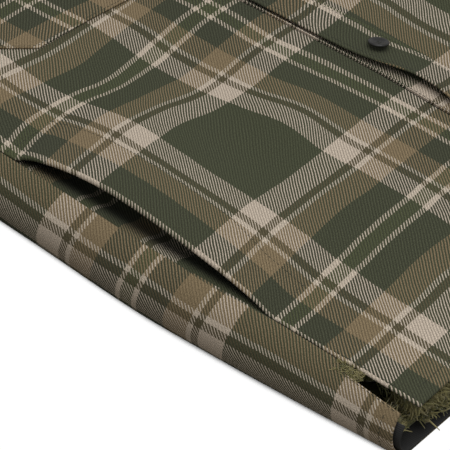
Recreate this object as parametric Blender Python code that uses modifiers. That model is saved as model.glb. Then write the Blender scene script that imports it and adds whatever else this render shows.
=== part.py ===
"""A plaid shirt jacket, buttoned up and lying on its back.

Metres, +Z up. The wearer's right is at -X, the collar towards +Y, and the back rests on z = 0.
Each piece is a sheet of cloth: a grid whose points follow the laid garment, with a real wall.
Levels ("y" below) are heights above the front hem, measured along the garment.
"""
import math
from collections import namedtuple

import bmesh
import bpy
from mathutils import Vector

# Cloth walls and the gap left at each seam
WALL = 0.0024
PILE_WALL = 0.0050
TAPE_WALL = 0.0012
SEAM_GAP = 0.0004

# The laid body, read at a few levels: half its width and the height of its front
Level = namedtuple("Level", "y half_width thickness")
BODY_LEVELS = (
    Level(-0.100, 0.2520, 0.0360),
    Level(0.000, 0.2540, 0.0375),
    Level(0.060, 0.2595, 0.0425),
    Level(0.120, 0.2640, 0.0465),
    Level(0.180, 0.2660, 0.0475),
    Level(0.260, 0.2620, 0.0470),
    Level(0.380, 0.2570, 0.0460),
    Level(0.485, 0.2560, 0.0460),
    Level(0.600, 0.2560, 0.0420),
    Level(0.700, 0.2560, 0.0380),
    Level(0.800, 0.2560, 0.0360),
)

# Large folds of the front: where the middle is, half length, half width, turn from +X, rise
Fold = namedtuple("Fold", "x y length width turn rise")
FRONT_FOLDS = (
    Fold(-0.112, 0.256, 0.085, 0.026, 62, -0.0045),
    Fold(-0.082, 0.212, 0.090, 0.028, 58, 0.0045),
    Fold(-0.185, 0.200, 0.110, 0.034, 84, 0.0040),
    Fold(-0.150, 0.060, 0.120, 0.040, 20, 0.0030),
    Fold(-0.060, 0.110, 0.100, 0.035, 35, -0.0035),
    Fold(-0.120, 0.445, 0.120, 0.034, -35, 0.0045),
    Fold(-0.190, 0.520, 0.110, 0.030, -48, -0.0040),
    Fold(0.105, 0.240, 0.120, 0.032, 112, 0.0045),
    Fold(0.060, 0.300, 0.110, 0.030, 120, -0.0040),
    Fold(0.190, 0.140, 0.100, 0.036, 95, 0.0040),
    Fold(0.130, 0.060, 0.130, 0.040, 165, -0.0035),
    Fold(0.140, 0.430, 0.120, 0.034, 140, 0.0045),
    Fold(0.195, 0.530, 0.110, 0.032, 130, -0.0040),
)
FOLD_FADE = 0.045
FRONT_SAG = 0.0055
SAG_HALF = 0.150

# Side seams, their vents at the hem and the hand pockets let into them
SEAM_TURN = math.radians(14)
HEM = 0.002
HEM_BACK = 0.0045
HEM_SIDE_RISE = 0.0035
VENT_TOP = 0.056
VENT_RAMP = 0.010
VENT_TOP_SHARE = 0.5
FRONT_VENT_OPEN = 0.0010
BACK_VENT_OPEN = 0.0085
MOUTH_BOTTOM = 0.101
MOUTH_TOP = 0.290
MOUTH_LIFT = 0.0118
MOUTH_IN = 0.0080
MOUTH_REACH = 0.040
MOUTH_SKEW = 1.3
MOUTH_ROUND = 0.61
FACING_UNDER_BACK = 0.008
FACING_DEPTH = 0.046
FACING_DROP = 0.009
FACING_HELD = 1 / 6
FACING_PAST_MOUTH = 0.006

# Neck, shoulders and armholes
UNDERARM = 0.485
NECK_HALF = 0.082
NECK_POINT = 0.745
FRONT_NECK_DROP = 0.083
BACK_NECK_RISE = 0.020
SHOULDER_TIP_X = 0.235
SHOULDER_TIP_Y = 0.700
YOKE_FRONT = 0.042
YOKE_BACK_SEAM = 0.600

# Narrow grid columns and rows that keep an edge crisp: shares of a panel, and a length
FRONT_EDGE_COLUMN = 0.006
FRONT_SIDE_COLUMNS = 0.10
BACK_EDGE_COLUMN = 0.022
ARMHOLE_ROW = 0.020
SLEEVE_FIRST_ROWS = 0.12

# Front bands and buttons
BAND_HALF = 0.0155
UNDER_BAND_EDGE = 0.0184
UNDER_BAND_REACH = 0.0035
BAND_PUFF = 0.0010
BAND_PUFF_REACH = 0.003
BAND_BUCKLE_Y = 0.166
BAND_BUCKLE_LENGTH = 0.034
BAND_BUCKLE_IN = 0.0075
BAND_BUCKLE_LIFT = 0.0040
BUTTON_RADIUS = 0.00635
BUTTON_HEIGHT = 0.0031
FIRST_BUTTON = 0.113
BUTTON_STEP = 0.0955
BUTTON_COUNT = 6
BUTTON_SIDES = 12
Turned = namedtuple("Turned", "radius height")
BUTTON_PROFILE = (
    Turned(0.00, 0.62),
    Turned(0.42, 0.66),
    Turned(0.66, 0.98),
    Turned(0.86, 1.00),
    Turned(1.00, 0.62),
    Turned(0.94, 0.20),
    Turned(0.70, 0.00),
    Turned(0.00, 0.00),
)
CUFF_BUTTON_STATION = 0.62
CUFF_BUTTON_ALONG = 0.5

# Patch pockets on the chest
CHEST_POCKET_OUTER = 0.171
CHEST_POCKET_INNER = 0.031
CHEST_POCKET_BOTTOM = 0.354
CHEST_POCKET_TOP = 0.504
CHEST_POCKET_CUT = 0.018

# Sleeves and cuffs, in plan
SLEEVE_SLOPE = math.radians(55)
SLEEVE_TOP_LENGTH = 0.640
SLEEVE_END_WIDTH = 0.118
CUFF_LENGTH = 0.068
CUFF_WIDTH = 0.112
CUFF_THICKNESS = 0.031
UNDERARM_FLARE = 0.0275
UNDERARM_CURVE = 0.0085
SLEEVE_BELLY = 0.010
SLEEVE_LEAD = 0.0015
SLEEVE_LEAD_ROW = 0.004
ARMHOLE_FADE = 0.22
SLEEVE_FOLDS_FROM = 0.08
SleeveFold = namedtuple("SleeveFold", "along across length width lean rise")
SLEEVE_FOLDS = (
    SleeveFold(0.14, 0.30, 0.10, 0.50, 0.30, 0.0050),
    SleeveFold(0.30, 0.25, 0.07, 0.45, -0.25, -0.0050),
    SleeveFold(0.44, 0.60, 0.08, 0.55, 0.35, 0.0055),
    SleeveFold(0.60, 0.35, 0.07, 0.50, -0.30, -0.0045),
    SleeveFold(0.76, 0.60, 0.07, 0.50, 0.25, 0.0045),
    SleeveFold(0.90, 0.40, 0.05, 0.60, 0.0, -0.0030),
)

# Collar
STAND_INSET = 0.001
STAND_HEIGHT_BACK = 0.030
STAND_HEIGHT_FRONT = 0.022
STAND_LEAN_BACK = 0.005
STAND_LEAN_FRONT = 0.017
STAND_LEAN_BACK_TO = 0.30
STAND_LEAN_FRONT_FROM = 0.68
STAND_END = 0.985
LEAF_BACK = 0.050
LEAF_POINT = 0.078
LEAF_END = 0.90
LEAF_WIDENS_FROM = 0.45
LEAF_WIDENS_TO = 0.95
LEAF_ARCH = 0.003
LEAF_ARCH_END = 0.625
LEAF_DROOP_BACK = 0.028
LEAF_DROOP_FRONT = 0.024
LEAF_DROOP_POWER = 1.5
LEAF_CLEAR = 0.0018
LEAF_CORNER_LIFT = 0.0075
LEAF_CORNER_TURN = 0.52
LEAF_CORNER_REACH = 0.14

# Hem tape and pile lining inside the body
TAPE_HEIGHT = 0.022
TAPE_FROM_SIDE = 0.010
LINING_FROM_MIDDLE = 0.024
PILE_START = 0.013
PILE_TURN = math.radians(125)
PILE_FRONT_TOP = 0.460
PILE_BELOW_NECK = 0.075
PILE_BELOW_UNDERARM = 0.012
PILE_FROM_SIDE = 0.006
PILE_PAST_MOUTH = 0.075
PILE_MOUTH_RAMP = 0.030
PILE_UNDER_FACING = 0.095
PILE_FACING_RAMP = 0.024

PLAID_GREEN = (0.055, 0.060, 0.038, 1.0)
PLAID_BROWN = (0.180, 0.130, 0.075, 1.0)
PILE_OLIVE = (0.050, 0.050, 0.024, 1.0)
TAPE_BLACK = (0.012, 0.012, 0.012, 1.0)
BUTTON_CHARCOAL = (0.024, 0.024, 0.023, 1.0)
RIGHT = -1
LEFT = 1
SIDES = ((RIGHT, "right"), (LEFT, "left"))


def blend(start, end, share):
    """The value at a share of the way from start to end."""
    return start + (end - start) * share


def smooth(share):
    """An eased share, level at 0 and at 1."""
    share = min(max(share, 0.0), 1.0)
    return share * share * (3 - 2 * share)


def bump(distance, reach):
    """A soft bell of height 1 at distance 0."""
    return math.exp(-(distance / reach) ** 2)


def spread(*stops):
    """Values through (value, steps to the next value) stops, evenly spaced between each pair."""
    values = []
    for (start, steps), (end, _) in zip(stops, stops[1:]):
        values += [blend(start, end, step / steps) for step in range(steps)]
    return values + [stops[-1][0]]


def level_at(y):
    """The body's half width and thickness at one level, on a smooth curve through the table."""
    last = len(BODY_LEVELS) - 2
    place = max(i for i, level in enumerate(BODY_LEVELS[:-1]) if level.y <= y or i == 0)
    place = min(place, last)
    before = BODY_LEVELS[max(place - 1, 0)]
    low = BODY_LEVELS[place]
    high = BODY_LEVELS[place + 1]
    after = BODY_LEVELS[min(place + 2, last + 1)]
    share = (y - low.y) / (high.y - low.y)
    values = []
    for column in ("half_width", "thickness"):
        low_value = getattr(low, column)
        high_value = getattr(high, column)
        low_slope = (high_value - getattr(before, column)) / (high.y - before.y)
        high_slope = (getattr(after, column) - low_value) / (after.y - low.y)
        step = high.y - low.y
        eased = smooth(share)
        ramp_low = share * (1 - share) ** 2 * low_slope * step
        ramp_high = share * share * (share - 1) * high_slope * step
        values.append(blend(low_value, high_value, eased) + ramp_low + ramp_high)
    return Level(y, *values)


def fold_rise(x, y):
    """How far the front's folds lift or sink its cloth."""
    rise = 0.0
    for fold in FRONT_FOLDS:
        turn = math.radians(fold.turn)
        along = (x - fold.x) * math.cos(turn) + (y - fold.y) * math.sin(turn)
        across = (y - fold.y) * math.cos(turn) - (x - fold.x) * math.sin(turn)
        rise += fold.rise * bump(along, fold.length) * bump(across, fold.width)
    level = level_at(y)
    flat = level.half_width - level.thickness / 2
    return rise * smooth((flat - abs(x)) / FOLD_FADE)


def front_height(x, y):
    """The height of the front cloth's outside, which sags towards its buttoned middle."""
    return level_at(y).thickness - FRONT_SAG * smooth(1 - abs(x) / SAG_HALF) + fold_rise(x, y)


def body_point(side, arc, y, out=0.0):
    """A point of the laid body's outside, or one moved out of it.

    The arc runs over the front from 0, where the side's rounding ends, towards the middle, and
    below 0 it runs round the side and on under the back.
    """
    level = level_at(y)
    radius = level.thickness / 2
    flat = level.half_width - radius
    if arc >= 0:
        x = side * (flat - arc)
        return Vector((x, y, front_height(x, y) + out))
    turn = -arc / radius
    if turn >= math.pi:
        return Vector((side * (flat - (turn - math.pi) * radius), y, -out))
    x = side * (flat + (radius + out) * math.sin(turn))
    return Vector((x, y, radius + (radius + out) * math.cos(turn)))


def armhole_x(y):
    """Half the body's width along the armhole, which flares out to the underarm."""
    return SHOULDER_TIP_X + UNDERARM_FLARE * math.exp(-max(y - UNDERARM, 0) / UNDERARM_CURVE)


def shoulder_y(x):
    """The level of the shoulder fold."""
    slope = (NECK_POINT - SHOULDER_TIP_Y) / (SHOULDER_TIP_X - NECK_HALF)
    return NECK_POINT - (min(abs(x), SHOULDER_TIP_X) - NECK_HALF) * slope


def neck_y(x, drop):
    """The level of the neckline, cut down in the middle."""
    return NECK_POINT - drop * (1 - min(abs(x) / NECK_HALF, 1.0) ** 2)


def front_top(x):
    """The level where a front panel ends, at the yoke or at the neck."""
    return min(shoulder_y(x) - YOKE_FRONT, neck_y(x, FRONT_NECK_DROP))


def seam_arc(y):
    """Where the side seam runs on the side's rounding."""
    return -SEAM_TURN * level_at(y).thickness / 2


def vent_share(y):
    """How far the vent has opened at a level: 0 at its top, soon half and 1 at the hem."""
    widened = blend(VENT_TOP_SHARE, 1.0, (VENT_TOP - y) / VENT_TOP)
    return widened * smooth((VENT_TOP - y) / VENT_RAMP)


def mouth_share(y):
    """How far a hand pocket's mouth gapes at a level."""
    if not MOUTH_BOTTOM < y < MOUTH_TOP:
        return 0.0
    share = (y - MOUTH_BOTTOM) / (MOUTH_TOP - MOUTH_BOTTOM)
    return math.sin(math.pi * share ** MOUTH_SKEW) ** MOUTH_ROUND


def plain_material(name, colour, roughness):
    """A plain finish for one piece."""
    material = bpy.data.materials.new(name)
    material.use_nodes = True
    shader = material.node_tree.nodes["Principled BSDF"]
    shader.inputs["Base Color"].default_value = colour
    shader.inputs["Roughness"].default_value = roughness
    shader.inputs["Metallic"].default_value = 0.0
    return material


def add_piece(name, mesh, colour, roughness=0.9):
    """Put a finished mesh into the garment's collection, under its empty."""
    mesh.materials.append(plain_material(name, colour, roughness))
    piece = bpy.data.objects.new(name, mesh)
    piece.parent = garment
    collection.objects.link(piece)
    return piece


def cloth(name, columns, rows, place, colour, wall=WALL, keep=None, ring=False, flip=False):
    """A sheet of cloth: each grid point goes where place(column, row) says, then gets its wall.

    The wall grows away from the side that the faces look to. keep(column, row) says which grid
    faces stay, by their middle, ring joins the first column to the last and flip turns the faces.
    """
    grid = bmesh.new()
    across = len(columns) - 1
    along = len(rows) - 1
    bmesh.ops.create_grid(grid, x_segments=across, y_segments=along, size=0.5)
    spots = {}
    for point in grid.verts:
        column = round((point.co.x + 0.5) * across)
        row = round((point.co.y + 0.5) * along)
        spots[point] = (columns[column], rows[row])
    if keep:
        middles = {face: [sum(spots[p][axis] for p in face.verts) / 4 for axis in (0, 1)]
                   for face in grid.faces}
        unwanted = [face for face, middle in middles.items() if not keep(*middle)]
        bmesh.ops.delete(grid, geom=unwanted, context="FACES")
    for point in grid.verts:
        point.co = place(*spots[point])
    if ring:
        bmesh.ops.remove_doubles(grid, verts=grid.verts, dist=1e-6)
    if flip:
        bmesh.ops.reverse_faces(grid, faces=grid.faces)
    mesh = bpy.data.meshes.new(name)
    grid.to_mesh(mesh)
    grid.free()
    mesh.shade_smooth()
    piece = add_piece(name, mesh, colour)
    solidify = piece.modifiers.new("wall", "SOLIDIFY")
    solidify.thickness = wall
    solidify.offset = -1
    return piece


def front_edge_arc(y):
    """Where a front panel's side edge runs: along the seam, drawn in at the vent and the pocket."""
    return seam_arc(y) + SEAM_GAP / 2 + FRONT_VENT_OPEN * vent_share(y) + MOUTH_IN * mouth_share(y)


def front_point(side, share, y_share, inner_x, out=0.0):
    """A point of a front panel, from its side edge (share 0) to its edge at inner_x (share 1)."""
    y = y_share * (SHOULDER_TIP_Y - YOKE_FRONT - SEAM_GAP)
    if y <= UNDERARM:
        level = level_at(y)
        flat = level.half_width - level.thickness / 2
        start = front_edge_arc(y)
        arc = blend(start, flat - inner_x * side, share)
        point = body_point(side, arc, y_share * front_limit(side, flat - arc), out)
        lift = MOUTH_LIFT * mouth_share(y) * bump(arc - start, MOUTH_REACH)
        return point + Vector((0, 0, lift))
    x = side * blend(armhole_x(y) - SEAM_GAP, inner_x * side, share)
    level = y_share * front_limit(side, abs(x))
    return Vector((x, level, front_height(x, level) + out))


def front_limit(side, reach):
    """The top of a front panel's cloth at a distance from the middle."""
    return front_top(side * min(reach, SHOULDER_TIP_X)) - SEAM_GAP


FRONT_ROWS = spread((HEM, 2), (VENT_TOP - VENT_RAMP, 1), (VENT_TOP, 2), (MOUTH_BOTTOM, 8), (MOUTH_TOP, 6),
                    (UNDERARM, 1), (UNDERARM + ARMHOLE_ROW, 5), (SHOULDER_TIP_Y - YOKE_FRONT - SEAM_GAP, 0))
FRONT_SHARES = [row / FRONT_ROWS[-1] for row in FRONT_ROWS]
FRONT_COLUMNS = spread((0.0, 1), (FRONT_EDGE_COLUMN, 3), (FRONT_SIDE_COLUMNS, 9), (1.0, 0))


def build_fronts():
    """The front panels. The right one ends at its band, the left one runs on under its own."""
    inner_edges = {RIGHT: -UNDER_BAND_EDGE, LEFT: UNDER_BAND_REACH + 2 * SEAM_GAP}
    for side, word in SIDES:
        cloth("front_" + word, FRONT_COLUMNS, FRONT_SHARES,
              lambda share, row, s=side: front_point(s, share, row, inner_edges[s]),
              PLAID_GREEN, flip=side == LEFT)


def back_point(side, share, y):
    """A point of the back panel: share 0 at the side seam, 1 under the rounding, 2 in the middle."""
    y += HEM_SIDE_RISE * smooth(1 - share) * smooth(1 - (y - HEM_BACK) / VENT_TOP)
    level = level_at(y)
    radius = level.thickness / 2
    start = seam_arc(y) - SEAM_GAP / 2 - BACK_VENT_OPEN * vent_share(y)
    if share <= 1:
        return body_point(side, blend(start, -math.pi * radius, share), y)
    edge = level.half_width - radius
    if y > UNDERARM:
        edge = armhole_x(y) - SEAM_GAP
    return Vector((side * edge * (2 - share), y, 0))


def build_back():
    """The back panel, one piece from side seam to side seam, open at the armholes."""
    rows = spread((HEM_BACK, 2), (VENT_TOP - VENT_RAMP, 1), (VENT_TOP, 2), (MOUTH_BOTTOM, 6), (MOUTH_TOP, 5),
                  (UNDERARM, 1), (UNDERARM + ARMHOLE_ROW, 2), (YOKE_BACK_SEAM - SEAM_GAP, 0))
    half = spread((0.0, 1), (BACK_EDGE_COLUMN, 7), (1.0, 3), (2.0, 0))
    columns = half[:-1] + [4 - share for share in reversed(half)]

    def place(share, y):
        side = RIGHT if share <= 2 else LEFT
        return back_point(side, min(share, 4 - share), y)

    def keep(share, y):
        return y < UNDERARM or 1 < share < 3

    cloth("back", columns, rows, place, PLAID_GREEN, keep=keep, flip=True)


def yoke_point(x, turn):
    """A point of the yoke: turn 0 at the back seam, 1 to 2 over the shoulder fold, 3 at the front."""
    fold = shoulder_y(x)
    radius = level_at(fold).thickness / 2
    middle = fold - radius
    if turn <= 1:
        top = neck_y(x, -BACK_NECK_RISE) if abs(x) < NECK_HALF - SEAM_GAP else middle
        return Vector((x, blend(YOKE_BACK_SEAM, top, turn), 0))
    if turn <= 2:
        angle = math.pi * (turn - 1)
        return Vector((x, middle + radius * math.sin(angle), radius - radius * math.cos(angle)))
    y = blend(middle, fold - YOKE_FRONT, turn - 2)
    return Vector((x, y, blend(2 * radius, front_height(x, y), turn - 2)))


def build_yoke():
    """The yoke: across the back, over both shoulders and down to the fronts, open at the neck."""
    tip = SHOULDER_TIP_X - SEAM_GAP
    columns = spread((-tip, 5), (-NECK_HALF, 6), (NECK_HALF, 5), (tip, 0))
    turns = spread((0.0, 3), (1.0, 6), (2.0, 2), (3.0, 0))
    cloth("yoke", columns, turns, yoke_point, PLAID_GREEN, flip=True,
          keep=lambda x, turn: turn < 1 or abs(x) > NECK_HALF)


def build_bands():
    """The buttoned edge: the right front's band below, the left front's on top of it."""
    top = neck_y(0, FRONT_NECK_DROP) - SEAM_GAP
    rows = spread((HEM, 22), (top, 0))

    def under(share, y):
        x = blend(-UNDER_BAND_EDGE + SEAM_GAP, UNDER_BAND_REACH, share)
        rise = BAND_PUFF * bump(x + BAND_HALF, BAND_PUFF_REACH)
        return Vector((x, y, front_height(x, y) + rise))

    def over(share, y):
        buckle = bump(y - BAND_BUCKLE_Y, BAND_BUCKLE_LENGTH)
        x = blend(-BAND_HALF + BAND_BUCKLE_IN * buckle, BAND_HALF, share)
        rise = WALL + BAND_PUFF + SEAM_GAP + BAND_BUCKLE_LIFT * buckle * (1 - share) ** 2
        return Vector((x, y, front_height(x, y) + rise))

    cloth("placket_under", spread((0.0, 4), (1.0, 0)), rows, under, PLAID_GREEN)
    cloth("placket_over", spread((0.0, 4), (1.0, 0)), rows, over, PLAID_GREEN)
    return over


def build_chest_pockets():
    """Patch pockets with cut-off lower corners, made from the fronts' points moved out."""
    width = CHEST_POCKET_OUTER - CHEST_POCKET_INNER
    cut = CHEST_POCKET_CUT / width
    columns = spread((0.0, 1), (cut, 6), (1 - cut, 1), (1.0, 0))
    rows = spread((0.0, 6), (1.0, 0))
    for side, word in SIDES:
        def place(share, row, side=side):
            corner = max(cut - min(share, 1 - share), 0) * width
            x = side * blend(CHEST_POCKET_OUTER, CHEST_POCKET_INNER, share)
            y = blend(CHEST_POCKET_BOTTOM + corner, CHEST_POCKET_TOP, row)
            return Vector((x, y, front_height(x, y) + WALL + 2 * SEAM_GAP))
        cloth("chest_pocket_" + word, columns, rows, place, PLAID_BROWN, flip=side == LEFT)


def build_pocket_facings():
    """The strip inside each hand pocket's mouth, sewn under the back's edge."""
    rows = spread((MOUTH_BOTTOM - FACING_PAST_MOUTH, 9), (MOUTH_TOP + FACING_PAST_MOUTH, 0))
    columns = spread((0.0, 5), (1.0, 0))
    for side, word in SIDES:
        def place(share, y, side=side):
            arc = seam_arc(y) + blend(-FACING_UNDER_BACK, FACING_DEPTH, share)
            point = body_point(side, arc, y, -WALL - 2 * SEAM_GAP)
            sunk = FACING_DROP * smooth((share - FACING_HELD) / (1 - FACING_HELD))
            return point - Vector((0, 0, sunk))
        cloth("pocket_facing_" + word, columns, rows, place, PLAID_BROWN, flip=side == LEFT)


def build_hem_tapes():
    """Dark tape inside the hem of each panel."""
    rows = spread((HEM_BACK, 1), (HEM_BACK + TAPE_HEIGHT, 0))
    inside = -WALL - 2 * SEAM_GAP
    for side, word in SIDES:
        def place(share, y, side=side):
            level = level_at(y)
            flat = level.half_width - level.thickness / 2
            return body_point(side, blend(TAPE_FROM_SIDE, flat - LINING_FROM_MIDDLE, share), y, inside)
        cloth("hem_facing_front_" + word, spread((0.0, 8), (1.0, 0)), rows, place, TAPE_BLACK,
              wall=TAPE_WALL, flip=side == LEFT)
    cloth("hem_facing_back", inner_back_columns(), rows,
          lambda share, y: inner_back_point(share, y, inside), TAPE_BLACK, wall=TAPE_WALL, flip=True)


def inner_back_columns():
    """Columns of what lines the back: up one side, across and up the other."""
    half = spread((0.0, 4), (1.0, 3), (2.0, 0))
    return half[:-1] + [4 - share for share in reversed(half)]


def inner_back_point(share, y, out):
    """A point inside the back: share 0 part way up the right side, 2 in the middle."""
    side = RIGHT if share <= 2 else LEFT
    share = min(share, 4 - share)
    level = level_at(y)
    radius = level.thickness / 2
    flat = level.half_width - radius
    if share <= 1 and y < UNDERARM:
        return body_point(side, -blend(math.pi - PILE_TURN, math.pi, share) * radius, y, out)
    edge = flat if y < UNDERARM else min(flat, SHOULDER_TIP_X - PILE_WALL)
    return Vector((side * edge * (2 - share), y, -out))


def build_pile():
    """The pile lining: one sheet inside the back and one inside each front."""
    inside = -WALL - TAPE_WALL - 3 * SEAM_GAP
    armhole = UNDERARM - PILE_BELOW_UNDERARM
    back_rows = spread((PILE_START, 8), (armhole, 4), (NECK_POINT - PILE_BELOW_NECK, 0))
    cloth("pile_back", inner_back_columns(), back_rows,
          lambda share, y: inner_back_point(share, y, inside), PILE_OLIVE, wall=PILE_WALL,
          keep=lambda share, y: y < armhole or 1 < share < 3, flip=True)
    front_rows = spread((PILE_START, 12), (PILE_FRONT_TOP, 0))
    below_facing = FACING_DROP + WALL
    for side, word in SIDES:
        def place(share, y, side=side):
            level = level_at(y)
            flat = level.half_width - level.thickness / 2
            arc = blend(PILE_FROM_SIDE, flat - LINING_FROM_MIDDLE, share)
            point = body_point(side, arc, y, inside)
            from_below = smooth((y - MOUTH_BOTTOM + PILE_PAST_MOUTH) / PILE_MOUTH_RAMP)
            from_above = smooth((MOUTH_TOP + PILE_PAST_MOUTH - y) / PILE_MOUTH_RAMP)
            from_front = smooth((PILE_UNDER_FACING - arc) / PILE_FACING_RAMP)
            sunk = below_facing * from_below * from_above * from_front
            return point - Vector((0, 0, sunk))
        cloth("pile_front_" + word, spread((0.0, 10), (1.0, 0)), front_rows, place, PILE_OLIVE,
              wall=PILE_WALL, flip=side == LEFT)


def tube_point(inner, outer, inner_thickness, outer_thickness, station):
    """A point of a flattened tube that lies on z = 0, between two edges given in plan.

    The station runs once round: 0 to 1 over the top from the inner edge's rounding to the outer's,
    1 to 2 round the outer edge, 2 to 3 back underneath and 3 to 4 round the inner edge.
    """
    run = outer - inner
    length = run.length
    inner_radius = inner_thickness / 2
    outer_radius = outer_thickness / 2
    if station <= 1 or 2 <= station <= 3:
        share = station if station <= 1 else 3 - station
        along = blend(inner_radius, length - outer_radius, share)
        height = blend(inner_thickness, outer_thickness, share) if station <= 1 else 0.0
    elif station < 2:
        angle = math.pi * (station - 1)
        along = length - outer_radius + outer_radius * math.sin(angle)
        height = outer_radius + outer_radius * math.cos(angle)
    else:
        angle = math.pi * (station - 3)
        along = inner_radius - inner_radius * math.sin(angle)
        height = inner_radius - inner_radius * math.cos(angle)
    return along / length, height


TUBE_STATIONS = spread((0.0, 6), (1.0, 5), (2.0, 4), (3.0, 5), (4.0, 0))


def sleeve_edges(along):
    """The sleeve's two edges in plan at a share of its length: at the body and away from it."""
    run = Vector((math.cos(SLEEVE_SLOPE), -math.sin(SLEEVE_SLOPE)))
    across = Vector((-math.sin(SLEEVE_SLOPE), -math.cos(SLEEVE_SLOPE)))
    outer_start = Vector((SHOULDER_TIP_X + SEAM_GAP, SHOULDER_TIP_Y))
    outer_end = outer_start + run * SLEEVE_TOP_LENGTH
    inner_end = outer_end + across * SLEEVE_END_WIDTH
    inner_start = Vector((armhole_x(UNDERARM) + SEAM_GAP, UNDERARM + 2 * SEAM_GAP))
    belly = across * SLEEVE_BELLY * math.sin(math.pi * along)
    return inner_start.lerp(inner_end, along) + belly, outer_start.lerp(outer_end, along)


def sleeve_point(side, station, row):
    """A point of a sleeve. Row 0 is at the armhole, a first narrow row stands straight off it, and
    row 1 is at the cuff.
    """
    along = max(row - SLEEVE_LEAD_ROW, 0) / (1 - SLEEVE_LEAD_ROW)
    lead = SLEEVE_LEAD * min(row / SLEEVE_LEAD_ROW, 1)
    inner, outer = sleeve_edges(along)
    inner_thickness = blend(level_at(UNDERARM).thickness, CUFF_THICKNESS, along)
    outer_thickness = blend(level_at(SHOULDER_TIP_Y).thickness, CUFF_THICKNESS, along)
    across, height = tube_point(inner, outer, inner_thickness, outer_thickness, station)
    place = inner.lerp(outer, across)
    straight = blend(inner.x, outer.x, across)
    armhole = armhole_x(place.y) + SEAM_GAP
    place.x += (armhole - straight) * (1 - smooth(along / ARMHOLE_FADE))
    rise = 0.0
    for fold in SLEEVE_FOLDS:
        shift = along - fold.along - fold.lean * (across - fold.across)
        rise += fold.rise * bump(shift, fold.length) * bump(across - fold.across, fold.width)
    lifted = smooth((height / inner_thickness - 0.5) * 2) * smooth(along / SLEEVE_FOLDS_FROM)
    return Vector((side * (place.x + lead), place.y, height + rise * lifted))


def cuff_point(side, station, along):
    """A point of a cuff, which carries on from the sleeve's end."""
    inner, outer = sleeve_edges(1.0)
    run = Vector((math.cos(SLEEVE_SLOPE), -math.sin(SLEEVE_SLOPE)))
    middle = (inner + outer) / 2 + run * (SEAM_GAP + CUFF_LENGTH * along)
    middle.x += SLEEVE_LEAD
    half = (outer - inner).normalized() * CUFF_WIDTH / 2
    start = middle - half
    end = middle + half
    across, height = tube_point(start, end, CUFF_THICKNESS, CUFF_THICKNESS, station)
    place = start.lerp(end, across)
    return Vector((side * place.x, place.y, height))


def build_sleeves():
    """Sleeves and cuffs: flattened tubes that lie on the floor beside the body."""
    rows = spread((0.0, 1), (SLEEVE_LEAD_ROW, 3), (SLEEVE_FIRST_ROWS, 12), (1.0, 0))
    for side, word in SIDES:
        cloth("sleeve_" + word, TUBE_STATIONS, rows,
              lambda station, along, s=side: sleeve_point(s, station, along),
              PLAID_GREEN, ring=True, flip=side == LEFT)
        cloth("cuff_" + word, TUBE_STATIONS, spread((0.0, 2), (1.0, 0)),
              lambda station, along, s=side: cuff_point(s, station, along),
              PLAID_BROWN, ring=True, flip=side == LEFT)


def neck_frame(turn):
    """The neckline at a turn (0 at the back, +-1 at the front middle) and its outward direction."""
    angle = math.pi * turn
    drop = -BACK_NECK_RISE if abs(turn) < 0.5 else FRONT_NECK_DROP
    y = NECK_POINT - drop * math.cos(angle) ** 2
    front = front_height(0, NECK_POINT - FRONT_NECK_DROP)
    low = WALL + SEAM_GAP
    z = blend(low, front + WALL + 2 * SEAM_GAP, (1 - math.cos(angle)) / 2)
    place = Vector((NECK_HALF * math.sin(angle), y, z))
    out = Vector((math.sin(angle), math.cos(angle), 0))
    return place, out


def garment_top(x, y):
    """The highest cloth of fronts and yoke below a point, or the floor where there is none."""
    fold = shoulder_y(x)
    radius = level_at(fold).thickness / 2
    middle = fold - radius
    if y >= fold or abs(x) < NECK_HALF and y > neck_y(x, FRONT_NECK_DROP):
        return 0.0
    if y <= middle:
        return front_height(x, y)
    return radius + math.sqrt(radius ** 2 - (y - middle) ** 2)


def build_collar():
    """The collar: a stand round the neck and a leaf folded down over it."""
    stand_turns = spread((-STAND_END, 24), (STAND_END, 0))
    leaf_turns = spread((-LEAF_END, 24), (LEAF_END, 0))

    def fold_line(turn):
        place, out = neck_frame(turn)
        away = abs(turn)
        to_front = smooth((away - LEAF_WIDENS_FROM) / (LEAF_WIDENS_TO - LEAF_WIDENS_FROM))
        lean = STAND_LEAN_BACK * smooth(1 - away / STAND_LEAN_BACK_TO)
        leaning = (away - STAND_LEAN_FRONT_FROM) / (STAND_END - STAND_LEAN_FRONT_FROM)
        lean += STAND_LEAN_FRONT * smooth(leaning)
        rise = blend(STAND_HEIGHT_BACK, STAND_HEIGHT_FRONT, to_front)
        return place, out, to_front, lean, rise

    def stand(turn, share):
        place, out, _, lean, rise = fold_line(turn)
        return place - out * (STAND_INSET + lean * share) + Vector((0, 0, rise * share))

    def leaf(turn, share):
        place, out, to_front, lean, rise = fold_line(turn)
        width = blend(LEAF_BACK, LEAF_POINT, to_front)
        spot = place + out * (width * share - STAND_INSET - lean - WALL)
        arch = LEAF_ARCH * math.sin(math.pi * min(share / LEAF_ARCH_END, 1.0))
        droop = blend(LEAF_DROOP_BACK, LEAF_DROOP_FRONT, to_front) * share ** LEAF_DROOP_POWER
        corner = bump(abs(turn) - LEAF_CORNER_TURN, LEAF_CORNER_REACH)
        clear = LEAF_CLEAR + LEAF_CORNER_LIFT * corner
        height = place.z + rise + WALL + clear + arch - droop
        spot.z = max(height, garment_top(spot.x, spot.y) + WALL + 2 * LEAF_CLEAR)
        return spot

    cloth("collar_stand", stand_turns, spread((0.0, 3), (1.0, 0)), stand, PLAID_GREEN, flip=True)
    cloth("collar_leaf", leaf_turns, spread((0.0, 5), (1.0, 0)), leaf, PLAID_BROWN)


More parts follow.
